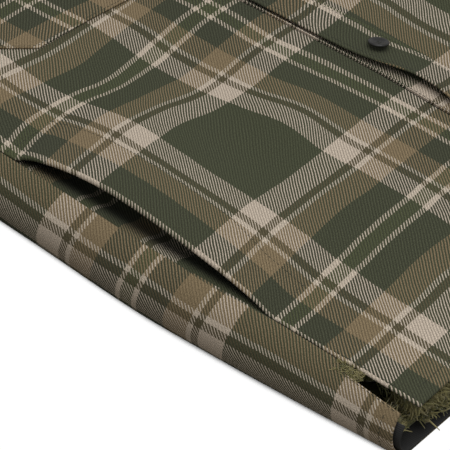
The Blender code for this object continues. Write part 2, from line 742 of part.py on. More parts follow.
def button(name, place):
    """A turned button with a raised rim and a dished middle."""
    outline = bmesh.new()
    points = [outline.verts.new((BUTTON_RADIUS * spot.radius, 0, BUTTON_HEIGHT * spot.height))
              for spot in BUTTON_PROFILE]
    for first, second in zip(points, points[1:]):
        outline.edges.new((first, second))
    mesh = bpy.data.meshes.new(name)
    outline.to_mesh(mesh)
    outline.free()
    piece = add_piece(name, mesh, BUTTON_CHARCOAL, roughness=0.35)
    piece.location = place
    screw = piece.modifiers.new("turned", "SCREW")
    screw.steps = BUTTON_SIDES
    screw.render_steps = BUTTON_SIDES
    screw.use_merge_vertices = True
    screw.merge_threshold = 0.00001
    screw.use_smooth_shade = True
    return piece


def build_buttons(over_band):
    """Buttons down the front band and one on each cuff."""
    for count in range(BUTTON_COUNT):
        y = FIRST_BUTTON + BUTTON_STEP * count
        around = [over_band(0.5, y + step * BUTTON_RADIUS).z for step in (-1, 0, 1)]
        button("front_button_%d" % (count + 1), Vector((0, y, max(around) + 2 * SEAM_GAP)))
    for side, word in SIDES:
        spot = cuff_point(side, CUFF_BUTTON_STATION, CUFF_BUTTON_ALONG)
        button("cuff_button_" + word, spot + Vector((0, 0, SEAM_GAP)))


def rest_on_origin():
    """Move the garment so that the middle of its underside is the origin."""
    bpy.context.view_layer.update()
    depsgraph = bpy.context.evaluated_depsgraph_get()
    corners = []
    for piece in collection.objects:
        if piece.type == "MESH":
            finished = piece.evaluated_get(depsgraph)
            corners += [finished.matrix_world @ Vector(corner) for corner in finished.bound_box]
    low = [min(corner[axis] for corner in corners) for axis in range(3)]
    high = [max(corner[axis] for corner in corners) for axis in range(3)]
    garment.location = (-(low[0] + high[0]) / 2, -(low[1] + high[1]) / 2, -low[2])


for leftover in list(bpy.data.objects):
    bpy.data.objects.remove(leftover)
collection = bpy.data.collections.new("plaid_shirt_jacket")
bpy.context.scene.collection.children.link(collection)
garment = bpy.data.objects.new("garment", None)
collection.objects.link(garment)

build_fronts()
build_back()
build_yoke()
front_band = build_bands()
build_chest_pockets()
build_pocket_facings()
build_hem_tapes()
build_pile()
build_sleeves()
build_collar()
build_buttons(front_band)
rest_on_origin()
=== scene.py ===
"""Looks for a buttoned plaid shirt jacket that lies on its back.

Metres, +Z up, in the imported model's frame. A level is a height above the front hem, measured along
the garment, and the frame says where that hem lies. Every cloth piece is a fine shell close to its
solid's form, with a UV map named "cut": its place on the flat cloth, in metres from the middle of
one of the check's wide green blocks.
"""

import logging
import math
from dataclasses import dataclass, field
from enum import Enum
from typing import NamedTuple, Optional, Sequence, Union

import bmesh
import bpy
import numpy as np
from mathutils import Matrix, Vector, noise


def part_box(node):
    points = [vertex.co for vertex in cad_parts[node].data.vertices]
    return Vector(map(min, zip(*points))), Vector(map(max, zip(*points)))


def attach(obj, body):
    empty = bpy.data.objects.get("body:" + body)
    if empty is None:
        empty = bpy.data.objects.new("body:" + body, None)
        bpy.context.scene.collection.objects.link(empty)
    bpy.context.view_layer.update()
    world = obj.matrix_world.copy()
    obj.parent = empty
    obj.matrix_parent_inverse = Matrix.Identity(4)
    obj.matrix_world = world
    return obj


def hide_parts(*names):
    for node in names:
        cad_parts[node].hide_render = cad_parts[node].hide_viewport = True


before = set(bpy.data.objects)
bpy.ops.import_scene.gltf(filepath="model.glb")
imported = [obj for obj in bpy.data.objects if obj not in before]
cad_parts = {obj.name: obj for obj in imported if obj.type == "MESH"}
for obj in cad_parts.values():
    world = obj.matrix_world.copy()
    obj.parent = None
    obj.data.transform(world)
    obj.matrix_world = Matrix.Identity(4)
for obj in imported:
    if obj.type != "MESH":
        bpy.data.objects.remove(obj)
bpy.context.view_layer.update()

Array = np.ndarray
Values = Union[float, Array]
Pair = tuple[float, float]
Triple = tuple[float, float, float]
Material, Mesh, Object = bpy.types.Material, bpy.types.Mesh, bpy.types.Object
Tree, Node, Socket = bpy.types.NodeTree, bpy.types.Node, bpy.types.NodeSocket
LOG = logging.getLogger("shirt_jacket")
BODY = "root"
MM = 0.001
CUT_MAP = "cut"
# Shares of an edge's radius at which narrow grid lines round it off
RIM_STEPS = (0.0, 0.06, 0.25, 0.60)
# Bands of Blender's wave texture in tau units of its scale
WAVE_BANDS = 20
# Slack for comparing levels, and the shortest length that counts as one
SLACK = 1e-9
NO_LENGTH = 1e-12


class Side(Enum):
    """A side of the wearer, with the sign of its X."""

    RIGHT = -1
    LEFT = 1

    @property
    def word(self) -> str:
        """The side's name in pieces and nodes."""
        return self.name.lower()


def per_side(right: object, left: object) -> dict:
    """A field with a value for each side."""
    return field(default_factory=lambda: {Side.RIGHT: right, Side.LEFT: left})


class Slot(Enum):
    """Names of material slots."""

    TWILL = "plaid_twill"
    PILE = "pile_lining"
    TAPE = "hem_tape"
    BUTTON = "button"


def blend(start: Values, end: Values, share: Values) -> Values:
    """The value at a share of the way from start to end."""
    return start + (end - start) * share


def smooth(share: Values) -> Values:
    """An eased share, level at 0 and at 1."""
    held = np.clip(share, 0.0, 1.0)
    return held * held * (3 - 2 * held)


def bump(distance: Values, reach: float) -> Values:
    """A soft bell of height 1 at distance 0."""
    return np.exp(-((distance / reach) ** 2))


def rimmed(low: float, high: float, count: int, rim: float) -> Array:
    """Values from low to high with narrow steps at both ends.

    Args:
        low: The first value.
        high: The last value.
        count: How many evenly spaced values lie between the rims.
        rim: The width of the narrow steps at each end.

    Returns:
        The values in order.
    """
    steps = rim * np.array(RIM_STEPS)
    middle = np.linspace(low + rim, high - rim, count)
    return np.concatenate([low + steps, middle, high - steps[::-1]])


def joined(*parts: Array) -> Array:
    """Coordinates of one shape stacked into points."""
    return np.stack(np.broadcast_arrays(*parts), axis=-1)


def run_along(points: Array, axis: int) -> Array:
    """The length walked along a grid's rows or columns, from 0.

    Args:
        points: The grid.
        axis: 0 along its rows, 1 along its columns.

    Returns:
        The length at each point.
    """
    steps = np.linalg.norm(np.diff(points, axis=axis), axis=2)
    walked = np.cumsum(steps, axis=axis)
    start = np.zeros_like(np.take(walked, [0], axis=axis))
    return np.concatenate([start, walked], axis=axis)


def linear(hex_code: str, light: float = 1.0) -> tuple[float, float, float, float]:
    """An sRGB hex colour, or a share of its light, as the linear colour that shaders take.

    Args:
        hex_code: The colour, as #RRGGBB.
        light: The share of its light.

    Returns:
        Red, green, blue and alpha.
    """
    shares = [int(hex_code[place:place + 2], 16) / 255 for place in (1, 3, 5)]
    full = [s / 12.92 if s <= 0.04045 else ((s + 0.055) / 1.055) ** 2.4 for s in shares]
    red, green, blue = (value * light for value in full)
    return red, green, blue, 1.0


def add_node(tree: Tree, kind: str, inputs: Optional[dict] = None,
             **settings: object) -> Node:
    """Add a node to a tree with its settings and links.

    Args:
        tree: The tree that gets the node.
        kind: Blender's name of the node's type.
        inputs: Values, or sockets to link from, by the input's name or place.
        settings: The node's own properties.

    Returns:
        The new node.
    """
    made = tree.nodes.new(kind)
    for name, value in settings.items():
        setattr(made, name, value)
    for key, value in (inputs or {}).items():
        if isinstance(value, Socket):
            tree.links.new(value, made.inputs[key])
        else:
            made.inputs[key].default_value = value
    return made


def new_material(name: str, values: dict[str, float]) -> tuple[
        Material, Tree, Node]:
    """A material with one Principled shader.

    Args:
        name: The material's name.
        values: The shader's plain inputs by name.

    Returns:
        The material, its tree and its shader node.
    """
    material = bpy.data.materials.new(name)
    material.use_nodes = True
    tree = material.node_tree
    shader = tree.nodes["Principled BSDF"]
    for key, value in values.items():
        shader.inputs[key].default_value = value
    return material, tree, shader


def math_of(tree: Tree, operation: str, *values: object) -> Socket:
    """The result of a sum on values or sockets."""
    return add_node(tree, "ShaderNodeMath", dict(enumerate(values)), operation=operation).outputs[0]


def mix_of(tree: Tree, share: object, start: object, end: object) -> Socket:
    """Two colours mixed by a share."""
    return add_node(tree, "ShaderNodeMix", {0: share, 6: start, 7: end}, data_type="RGBA").outputs[2]


def range_of(tree: Tree, value: Socket, given: Pair,
             wanted: Pair, eased: bool = False) -> Socket:
    """A value moved from one range into another.

    Args:
        tree: The tree that gets the node.
        value: The value.
        given: The range that it comes in.
        wanted: The range that it goes to.
        eased: Whether it starts and ends gently.

    Returns:
        The moved value.
    """
    inputs = dict(enumerate((value, *given, *wanted)))
    kind = "SMOOTHSTEP" if eased else "LINEAR"
    return add_node(tree, "ShaderNodeMapRange", inputs, interpolation_type=kind).outputs[0]


def noise_of(tree: Tree, place: Socket, size: float,
             detail: float) -> Node:
    """A noise texture with spots of a size in millimetres."""
    inputs = {"Vector": place, "Scale": 1 / (size * MM), "Detail": detail}
    return add_node(tree, "ShaderNodeTexNoise", inputs)


def spots_of(tree: Tree, size: float, detail: float) -> Socket:
    """Soft spots of a size in millimetres, fixed to the object."""
    place = add_node(tree, "ShaderNodeTexCoord").outputs["Object"]
    return noise_of(tree, place, size, detail).outputs[0]


def relief_of(tree: Tree, height: Socket, strength: float,
              depth: float) -> Socket:
    """A surface direction tilted by a relief of a depth in millimetres."""
    inputs = {"Strength": strength, "Distance": depth * MM, "Height": height}
    return add_node(tree, "ShaderNodeBump", inputs).outputs[0]


def link_object(name: str, data: bpy.types.ID) -> Object:
    """Put data into the scene as a new object.

    Args:
        name: The object's name.
        data: Its mesh, light or camera.

    Returns:
        The object.
    """
    made = bpy.data.objects.new(name, data)
    bpy.context.scene.collection.objects.link(made)
    return made


def mesh_from(made: bmesh.types.BMesh, name: str) -> Mesh:
    """A finished bmesh as a mesh.

    Args:
        made: The bmesh, which is freed.
        name: The mesh's name.

    Returns:
        The mesh.
    """
    mesh = bpy.data.meshes.new(name)
    made.to_mesh(mesh)
    made.free()
    return mesh


class Level(NamedTuple):
    """Half the body's width and the height of its front, at one level."""

    y: float
    half_width: float
    thickness: float


class Fold(NamedTuple):
    """A soft ridge or trough: its middle, half length, half width, turn from +X and rise."""

    x: float
    y: float
    length: float
    width: float
    turn: float
    rise: float


class Stripe(NamedTuple):
    """One stripe of the check's half repeat: its width in millimetres and its yarn."""

    width: float
    yarn: str


class Growth(NamedTuple):
    """How pile strands grow: where they lean to, their size and how many stand on a square metre."""

    lean: Triple
    size: float
    per_m2: float


class Stop(NamedTuple):
    """One stop of a colour ramp."""

    place: float
    colour: str


def fill_ramp(ramp: bpy.types.ColorRamp, stops: Sequence[Stop]) -> None:
    """Set the stops of a new colour ramp, which already has two.

    Args:
        ramp: The ramp.
        stops: Its stops in order.
    """
    for number, stop in enumerate(stops):
        element = ramp.elements[number] if number < 2 else ramp.elements.new(stop.place)
        element.position = stop.place
        element.color = linear(stop.colour)


@dataclass(frozen=True)
class Pull:
    """How far a panel's check is pulled out of straight, at knots on its cut, in millimetres.

    Attributes:
        across: The knots' places across the cut.
        along: Their places along it.
        shift_across: The pull across at each knot, a row for each place along.
        shift_along: The pull along at each knot, in the same order.
        reach: How far a knot's pull reaches, across and along.
        fade: Where the pull starts across the cut and where it is full, if not everywhere.
    """

    across: tuple[float, ...]
    along: tuple[float, ...]
    shift_across: tuple[tuple[float, ...], ...]
    shift_along: tuple[tuple[float, ...], ...]
    reach: Pair
    fade: Optional[Pair] = None

    def weights(self, places: Array, knots: Sequence[float], reach: float) -> Array:
        """Each knot's share in the pull at each place along one direction.

        Args:
            places: The places.
            knots: The knots' places.
            reach: How far a knot reaches.

        Returns:
            A share for each place and knot.
        """
        held = np.clip(places, knots[0] - reach, knots[-1] + reach)
        share = bump(held[..., None] - np.array(knots), reach)
        return share / share.sum(axis=-1, keepdims=True)

    def moved(self, cut: Array) -> Array:
        """The places on the cut, in metres, that a pulled panel shows.

        Args:
            cut: Places on the straight cut, in metres.

        Returns:
            The pulled places, in metres.
        """
        across, along = (self.weights(cut[..., axis] / MM, knots, self.reach[axis])
                         for axis, knots in enumerate((self.across, self.along)))
        shift = joined(*(np.einsum("...i,ij,...j", along, np.array(table), across)
                         for table in (self.shift_across, self.shift_along)))
        if self.fade:
            start, full = self.fade
            shift = shift * smooth((cut[..., :1] / MM - start) / (full - start))
        return cut + shift * MM


@dataclass(frozen=True)
class PlaidTwill:
    """Brushed cotton in a two-and-two twill, woven as a check from dyed yarn.

    Warp and weft each run through half a repeat and back. Where both yarns are alike the block is
    plain. Where they differ, the twill shows as slanted hatching. The nap takes off all gloss.
    """

    yarns: tuple[tuple[str, str], ...] = (
        ("green", "#474A38"),
        ("deep", "#434536"),
        ("light", "#BEB09F"),
        ("thin", "#BEB19F"),
        ("gap", "#58513D"),
        ("brown", "#817157"),
        ("olive", "#4D5139"),
    )
    warp: tuple[Stripe, ...] = (
        Stripe(33.0, "green"), Stripe(16.5, "light"), Stripe(5.2, "gap"), Stripe(3.6, "thin"),
        Stripe(15.7, "brown"), Stripe(17.8, "deep"), Stripe(3.4, "thin"), Stripe(3.8, "olive"),
    )
    weft: tuple[Stripe, ...] = (
        Stripe(39.5, "green"), Stripe(18.0, "light"), Stripe(5.2, "gap"), Stripe(3.4, "thin"),
        Stripe(16.2, "brown"), Stripe(19.4, "deep"), Stripe(3.2, "thin"), Stripe(4.6, "olive"),
    )
    # Spacing of the twill's ribs along the weft and along the warp
    rib_across: float = 2.36
    rib_along: float = 2.60
    rib_softness: float = 0.12
    # Where warp and weft differ, the darker yarn takes more of each crossing
    dark_spread: float = 0.95
    fuzz_size: float = 0.7
    fuzz_span: Pair = (0.25, 0.75)
    fuzz_rise: float = 0.7
    # Shares of the yarn's light in the fuzz, and of a painted shade across each twill rib, darker on
    # one flank and lighter on the other
    speckle: Pair = (0.50, 1.55)
    painted_rib_shade: Pair = (0.70, 1.30)
    wander_size: float = 14.0
    wander: float = 1.20
    relief: float = 0.35
    relief_depth: float = 0.25
    roughness: float = 0.92
    specular: float = 0.06
    sheen: float = 0.04
    sheen_roughness: float = 0.6

    def half(self, stripes: Sequence[Stripe]) -> float:
        """Half a repeat of the check, in metres."""
        return sum(stripe.width for stripe in stripes) * MM

    def yarn_colour(self, tree: Tree, place: Socket,
                    stripes: Sequence[Stripe]) -> Socket:
        """The yarn's colour at a place across its stripes.

        Args:
            tree: The material's tree.
            place: The place on the cut, in metres.
            stripes: The half repeat, from a wide green block's middle.

        Returns:
            The colour socket.
        """
        half = self.half(stripes)
        folded = math_of(tree, "PINGPONG", place, half)
        ramp = add_node(tree, "ShaderNodeValToRGB", {0: math_of(tree, "MULTIPLY", folded, 1 / half)})
        ramp.color_ramp.interpolation = "CONSTANT"
        colours = dict(self.yarns)
        walked = np.cumsum([0.0] + [stripe.width * MM for stripe in stripes]).tolist()
        fill_ramp(ramp.color_ramp, [Stop(start / half, colours[stripe.yarn])
                                    for start, stripe in zip(walked, stripes)])
        return ramp.outputs[0]

    def material(self) -> Material:
        """The cloth as a material that reads the cut.

        Returns:
            The material.
        """
        material, tree, shader = new_material("brushed_plaid_twill", {
            "Roughness": self.roughness, "Specular IOR Level": self.specular,
            "Sheen Weight": self.sheen, "Sheen Roughness": self.sheen_roughness})
        cut = add_node(tree, "ShaderNodeUVMap", uv_map=CUT_MAP).outputs[0]
        drift = noise_of(tree, cut, self.wander_size, 2.0).outputs["Color"]
        centred = add_node(tree, "ShaderNodeVectorMath", {
            0: drift, 1: (0.5,) * 3}, operation="SUBTRACT")
        wandered = add_node(tree, "ShaderNodeVectorMath", {
            0: centred.outputs[0], 1: (self.wander * MM,) * 3, 2: cut}, operation="MULTIPLY_ADD")
        axes = add_node(tree, "ShaderNodeSeparateXYZ", {0: wandered.outputs[0]}).outputs
        warp = self.yarn_colour(tree, axes[0], self.warp)
        weft = self.yarn_colour(tree, axes[1], self.weft)
        across = math_of(tree, "MULTIPLY", axes[0], math.tau / (self.rib_across * MM))
        phase = math_of(tree, "MULTIPLY_ADD", axes[1], -math.tau / (self.rib_along * MM), across)
        wave = math_of(tree, "SINE", phase)
        tones = [add_node(tree, "ShaderNodeRGBToBW", {0: yarn}).outputs[0] for yarn in (warp, weft)]
        paler = math_of(tree, "SUBTRACT", *tones)
        crowded = math_of(tree, "MULTIPLY_ADD", paler, -self.dark_spread, wave)
        over = range_of(tree, crowded, (-self.rib_softness, self.rib_softness), (0.0, 1.0), eased=True)
        fuzz = noise_of(tree, cut, self.fuzz_size, 2.0).outputs[0]
        speckle = range_of(tree, fuzz, self.fuzz_span, self.speckle)
        # Painted shade: each twill rib is shaded on one flank and lit on the other
        painted_rib_shade = range_of(tree, math_of(tree, "COSINE", phase), (-1.0, 1.0), self.painted_rib_shade)
        shade = math_of(tree, "MULTIPLY", speckle, painted_rib_shade)
        tinted = add_node(tree, "ShaderNodeVectorMath", {
            0: mix_of(tree, over, weft, warp), 1: shade}, operation="MULTIPLY")
        height = math_of(tree, "MULTIPLY_ADD", fuzz, self.fuzz_rise, wave)
        relief = relief_of(tree, height, self.relief, self.relief_depth)
        tree.links.new(tinted.outputs[0], shader.inputs["Base Color"])
        tree.links.new(relief, shader.inputs["Normal"])
        return material


@dataclass(frozen=True)
class PileYarn:
    """Dyed polyester pile: olive strands with tan and dark green ones among them, soft and dull."""

    stops: tuple[Stop, ...] = (
        Stop(0.0, "#4A5036"), Stop(0.35, "#7A7B4E"), Stop(0.70, "#A79E6C"), Stop(1.0, "#CABA8C"),
    )
    patch_size: float = 9.0
    # How much a strand's own shade counts against the patch that it stands in
    shade_share: float = 0.45
    roughness: float = 0.85
    sheen: float = 0.25
    specular: float = 0.2

    def material(self) -> Material:
        """The pile as a material that reads each strand's shade.

        Returns:
            The material.
        """
        material, tree, shader = new_material("curly_pile", {
            "Roughness": self.roughness, "Sheen Weight": self.sheen,
            "Specular IOR Level": self.specular})
        shade = add_node(tree, "ShaderNodeAttribute", attribute_name="shade").outputs["Fac"]
        patches = spots_of(tree, self.patch_size, 3.0)
        mixed = add_node(tree, "ShaderNodeMix", {
            0: self.shade_share, 2: patches, 3: shade}, data_type="FLOAT")
        ramp = add_node(tree, "ShaderNodeValToRGB", {0: mixed.outputs[0]})
        fill_ramp(ramp.color_ramp, self.stops)
        tree.links.new(ramp.outputs[0], shader.inputs["Base Color"])
        return material


@dataclass(frozen=True)
class RibTape:
    """Black woven hem tape, with fine ribs across it, a painted shade in the grooves between them and a
    faint shine.
    """

    colour: str = "#2F2F2F"
    rib: float = 1.4
    rib_waver: float = 0.6
    # Painted shade: the share of the tape's colour left in the grooves between its ribs
    groove_painted_shade: float = 0.6
    relief: float = 0.5
    relief_depth: float = 0.3
    roughness: float = 0.7

    def material(self) -> Material:
        """The tape as a material that reads the cut.

        Returns:
            The material.
        """
        material, tree, shader = new_material("ribbed_tape", {"Roughness": self.roughness})
        cut = add_node(tree, "ShaderNodeUVMap", uv_map=CUT_MAP).outputs[0]
        ribs = add_node(tree, "ShaderNodeTexWave", {
            "Vector": cut, "Scale": 1 / (self.rib * MM) / WAVE_BANDS * math.tau,
            "Distortion": self.rib_waver}, bands_direction="X").outputs[1]
        # The grooves between the ribs get a painted shade
        tone = mix_of(tree, ribs, linear(self.colour, self.groove_painted_shade), linear(self.colour))
        tree.links.new(tone, shader.inputs["Base Color"])
        relief = relief_of(tree, ribs, self.relief, self.relief_depth)
        tree.links.new(relief, shader.inputs["Normal"])
        return material


@dataclass(frozen=True)
class CastResin:
    """Cast polyester button blank, turned and tumbled: charcoal with a soft shine and faint clouds."""

    colour: str = "#1E1E1D"
    cloud: str = "#292826"
    cloud_size: float = 4.0
    roughness: Pair = (0.28, 0.42)

    def material(self) -> Material:
        """The button's material.

        Returns:
            The material.
        """
        material, tree, shader = new_material("cast_resin", {})
        clouds = spots_of(tree, self.cloud_size, 3.0)
        tone = mix_of(tree, clouds, linear(self.colour), linear(self.cloud))
        tree.links.new(tone, shader.inputs["Base Color"])
        wear = range_of(tree, clouds, (0.0, 1.0), self.roughness)
        tree.links.new(wear, shader.inputs["Roughness"])
        return material


@dataclass(frozen=True)
class SewingThread:
    """Spun polyester sewing thread, near the cloth's green, with a twist that breaks up its shine."""

    colour: str = "#34372B"
    twist: float = 0.5
    twist_light: float = 0.6
    roughness: float = 0.75

    def material(self) -> Material:
        """The thread's material.

        Returns:
            The material.
        """
        material, tree, shader = new_material("sewing_thread", {"Roughness": self.roughness})
        twists = spots_of(tree, self.twist, 1.0)
        tone = mix_of(tree, twists, linear(self.colour, self.twist_light), linear(self.colour))
        tree.links.new(tone, shader.inputs["Base Color"])
        return material


@dataclass(frozen=True)
class PaleFloor:
    """Pale matt board. Its face glows white, so real shadows on it wash out, and a painted shadow dims
    the glow where cloth lies close above it.
    """

    colour: str = "#726D62"
    mottle: float = 60.0
    mottle_light: float = 0.99
    roughness: float = 0.95
    specular: float = 0.1
    glow: float = 1.18
    glow_share: float = 0.85
    # Height above the board within which cloth dims its glow with a painted shadow
    contact: float = 14.0
    contact_samples: int = 48
    # From how open a spot is to the sky until it glows in full, and the least that it glows under the
    # painted shadow
    contact_span: Pair = (0.14, 0.26)
    contact_glow: float = 0.02

    def material(self) -> Material:
        """The floor's material.

        Returns:
            The material.
        """
        material, tree, shader = new_material("matt_white_board", {
            "Roughness": self.roughness, "Specular IOR Level": self.specular})
        spots = spots_of(tree, self.mottle, 2.0)
        tone = mix_of(tree, spots, linear(self.colour, self.mottle_light), linear(self.colour))
        tree.links.new(tone, shader.inputs["Base Color"])
        seen = add_node(tree, "ShaderNodeLightPath").outputs["Is Camera Ray"]
        share = math_of(tree, "MULTIPLY", seen, self.glow_share)
        # Painted shadow: the glow dims where cloth close above hides the board from the sky
        under = add_node(tree, "ShaderNodeAmbientOcclusion", {
            "Distance": self.contact * MM}, samples=self.contact_samples).outputs["AO"]
        glow_under_painted_shadow = range_of(tree, under, self.contact_span, (self.contact_glow, 1.0), eased=True)
        light = add_node(tree, "ShaderNodeEmission", {
            "Strength": math_of(tree, "MULTIPLY", glow_under_painted_shadow, self.glow)})
        mixed = add_node(tree, "ShaderNodeMixShader", {
            0: share, 1: shader.outputs[0], 2: light.outputs[0]})
        tree.links.new(mixed.outputs[0], tree.nodes["Material Output"].inputs[0])
        return material


@dataclass
class Sheet:
    """A grid of points on the outside of a piece of cloth.

    Attributes:
        points: Rows by columns by 3, in metres, with levels as Y.
        cut: Rows by columns by 2, the same points on the flat cloth, in metres.
        wall: The cloth's thickness, one for all or one for each point.
        keep: Which grid faces stay, or None for all of them.
        ring: Whether the last column is the first one again.
        flip: Whether the outside looks the other way from columns turned into rows.
    """

    points: Array
    cut: Array
    wall: Values
    keep: Optional[Array] = None
    ring: bool = False
    flip: bool = False

    def faces_kept(self) -> Array:
        """Rows and columns of faces that stay, as truth values."""
        rows, columns = self.points.shape[:2]
        return np.ones((rows - 1, columns - 1), bool) if self.keep is None else self.keep

    def border(self) -> Array:
        """Which points lie on an edge of the cloth.

        Returns:
            A truth value for each point.
        """
        kept = np.pad(self.faces_kept(), 1)
        if self.ring:
            kept[:, 0] = kept[:, -2]
            kept[:, -1] = kept[:, 1]
        around = kept[:-1, :-1] & kept[:-1, 1:] & kept[1:, :-1] & kept[1:, 1:]
        return ~around

    def normals(self) -> Array:
        """The outward direction at each point.

        Returns:
            A unit vector for each point.
        """
        grid = self.points
        if self.ring:
            grid = np.concatenate([grid[:, -2:-1], grid, grid[:, 1:2]], axis=1)
        across = np.gradient(grid, axis=1)
        along = np.gradient(grid, axis=0)
        out = np.cross(across, along)
        if self.ring:
            out = out[:, 1:-1]
        out /= np.maximum(np.linalg.norm(out, axis=2, keepdims=True), NO_LENGTH)
        return -out if self.flip else out

    def edge_distance(self) -> Array:
        """How far each point lies from the nearest edge, along rows and columns.

        Returns:
            A distance for each point.
        """
        near = np.where(self.border(), 0.0, np.inf)
        for axis in (0, 1):
            steps = np.linalg.norm(np.diff(self.points, axis=axis), axis=2)
            walk = near if axis == 0 else near.T
            steps = steps if axis == 0 else steps.T
            for place in range(1, len(walk)):
                walk[place] = np.minimum(walk[place], walk[place - 1] + steps[place - 1])
            for place in range(len(walk) - 2, -1, -1):
                walk[place] = np.minimum(walk[place], walk[place + 1] + steps[place])
        return near

    def mesh(self, name: str) -> Mesh:
        """The cloth as a closed shell with rounded edges and its cut as a UV map.

        Args:
            name: The mesh's name.

        Returns:
            The mesh, in the frame's own place.
        """
        rows, columns = self.points.shape[:2]
        half = np.broadcast_to(np.asarray(self.wall) / 2, (rows, columns))
        inward = 1 - np.minimum(self.edge_distance() / half, 1.0)
        rise = (half * np.sqrt(1 - inward ** 2))[..., None]
        normals = self.normals()
        middle = self.points - normals * half[..., None]
        outer = np.arange(rows * columns).reshape(rows, columns)
        inner = np.where(self.border(), outer, outer + rows * columns)
        if self.ring:
            outer[:, -1] = outer[:, 0]
            inner[:, -1] = inner[:, 0]
        row, column = np.nonzero(self.faces_kept())
        corners = ((row, column), (row, column + 1), (row + 1, column + 1), (row + 1, column))
        order = corners[::-1] if self.flip else corners
        faces = [np.stack([outer[corner] for corner in order], axis=1),
                 np.stack([inner[corner] for corner in order[::-1]], axis=1)]
        uv = [np.stack([self.cut[corner] for corner in turn], axis=1) for turn in (order, order[::-1])]
        places = np.concatenate([(middle + normals * rise).reshape(-1, 3),
                                 (middle - normals * rise).reshape(-1, 3)])
        return mesh_of(name, places, np.concatenate(faces), np.concatenate(uv))


def mesh_of(name: str, points: Array, faces: Array, uv: Optional[Array] = None) -> Mesh:
    """A smooth mesh of quads, in the frame's own place.

    Args:
        name: The mesh's name.
        points: Points with levels as Y.
        faces: Four point numbers a face.
        uv: Each face corner's place on the cut.

    Returns:
        The mesh, with unused points dropped.
    """
    used, numbers = np.unique(faces, return_inverse=True)
    places = points[used] + np.array([0.0, HEM_PLACE, 0.0])
    mesh = bpy.data.meshes.new(name)
    mesh.vertices.add(len(places))
    mesh.vertices.foreach_set("co", places.astype(np.float32).ravel())
    mesh.loops.add(faces.size)
    mesh.loops.foreach_set("vertex_index", numbers.astype(np.int32).ravel())
    mesh.polygons.add(len(faces))
    mesh.polygons.foreach_set("loop_start", np.arange(0, faces.size, 4, dtype=np.int32))
    mesh.update(calc_edges=True)
    if uv is not None:
        layer = mesh.uv_layers.new(name=CUT_MAP)
        layer.data.foreach_set("uv", uv.astype(np.float32).ravel())
    mesh.shade_smooth()
    return mesh


def add_piece(name: str, mesh: Mesh, material: Material,
              stands_for: Sequence[str] = ()) -> Object:
    """Put a finished mesh on the garment.

    Args:
        name: The piece's name.
        mesh: Its mesh, in the frame's own place.
        material: Its finish.
        stands_for: The nodes that it replaces.

    Returns:
        The piece.
    """
    if not mesh.materials:
        mesh.materials.append(material)
    piece = link_object(name, mesh)
    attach(piece, BODY)
    if stands_for:
        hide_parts(*stands_for)
    LOG.info("%s: %d faces", name, len(mesh.polygons))
    return piece


def add_cloth(name: str, sheet: Sheet, material: Material,
              stands_for: Sequence[str]) -> None:
    """Put a sheet of cloth on the garment, with its cut as a UV map.

    Args:
        name: The piece's name.
        sheet: The cloth.
        material: Its finish.
        stands_for: The nodes that it replaces.
    """
    piece = add_piece(name, sheet.mesh(name), material, stands_for)


def new_tree(name: str, inputs: dict[str, str]) -> Tree:
    """A geometry node tree that takes a mesh and named inputs and returns a mesh.

    Args:
        name: The tree's name.
        inputs: The kind of each further input, by its name.

    Returns:
        The tree, with nothing in it yet.
    """
    tree = bpy.data.node_groups.new(name, "GeometryNodeTree")
    for key, kind in {"Geometry": "Geometry", **inputs}.items():
        tree.interface.new_socket(key, in_out="INPUT", socket_type="NodeSocket" + kind)
    tree.interface.new_socket("Geometry", in_out="OUTPUT", socket_type="NodeSocketGeometry")
    return tree


def end_tree(tree: Tree, instances: Socket,
             finish: Socket) -> None:
    """End a node tree: make its instances real and give them their finish.

    Args:
        tree: The tree.
        instances: Its instances.
        finish: Their material.
    """
    real = add_node(tree, "GeometryNodeRealizeInstances", {0: instances})
    dressed = add_node(tree, "GeometryNodeSetMaterial", {0: real.outputs[0], "Material": finish})
    add_node(tree, "NodeGroupOutput", {0: dressed.outputs[0]})


def bake(piece: Object, tree: Tree, sizes: dict[str, object]) -> Mesh:
    """Run a node tree on an object and return the result as a plain mesh.

    Args:
        piece: The object that the tree starts from, which is removed.
        tree: The tree.
        sizes: The tree's inputs by name.

    Returns:
        The baked mesh.
    """
    modifier = piece.modifiers.new(tree.name, "NODES")
    modifier.node_group = tree
    for item in tree.interface.items_tree:
        if item.item_type == "SOCKET" and item.in_out == "INPUT" and item.name in sizes:
            modifier[item.identifier] = sizes[item.name]
    depsgraph = bpy.context.evaluated_depsgraph_get()
    mesh = bpy.data.meshes.new_from_object(piece.evaluated_get(depsgraph))
    piece.modifiers.remove(modifier)
    bpy.data.objects.remove(piece)
    mesh.shade_smooth()
    return mesh


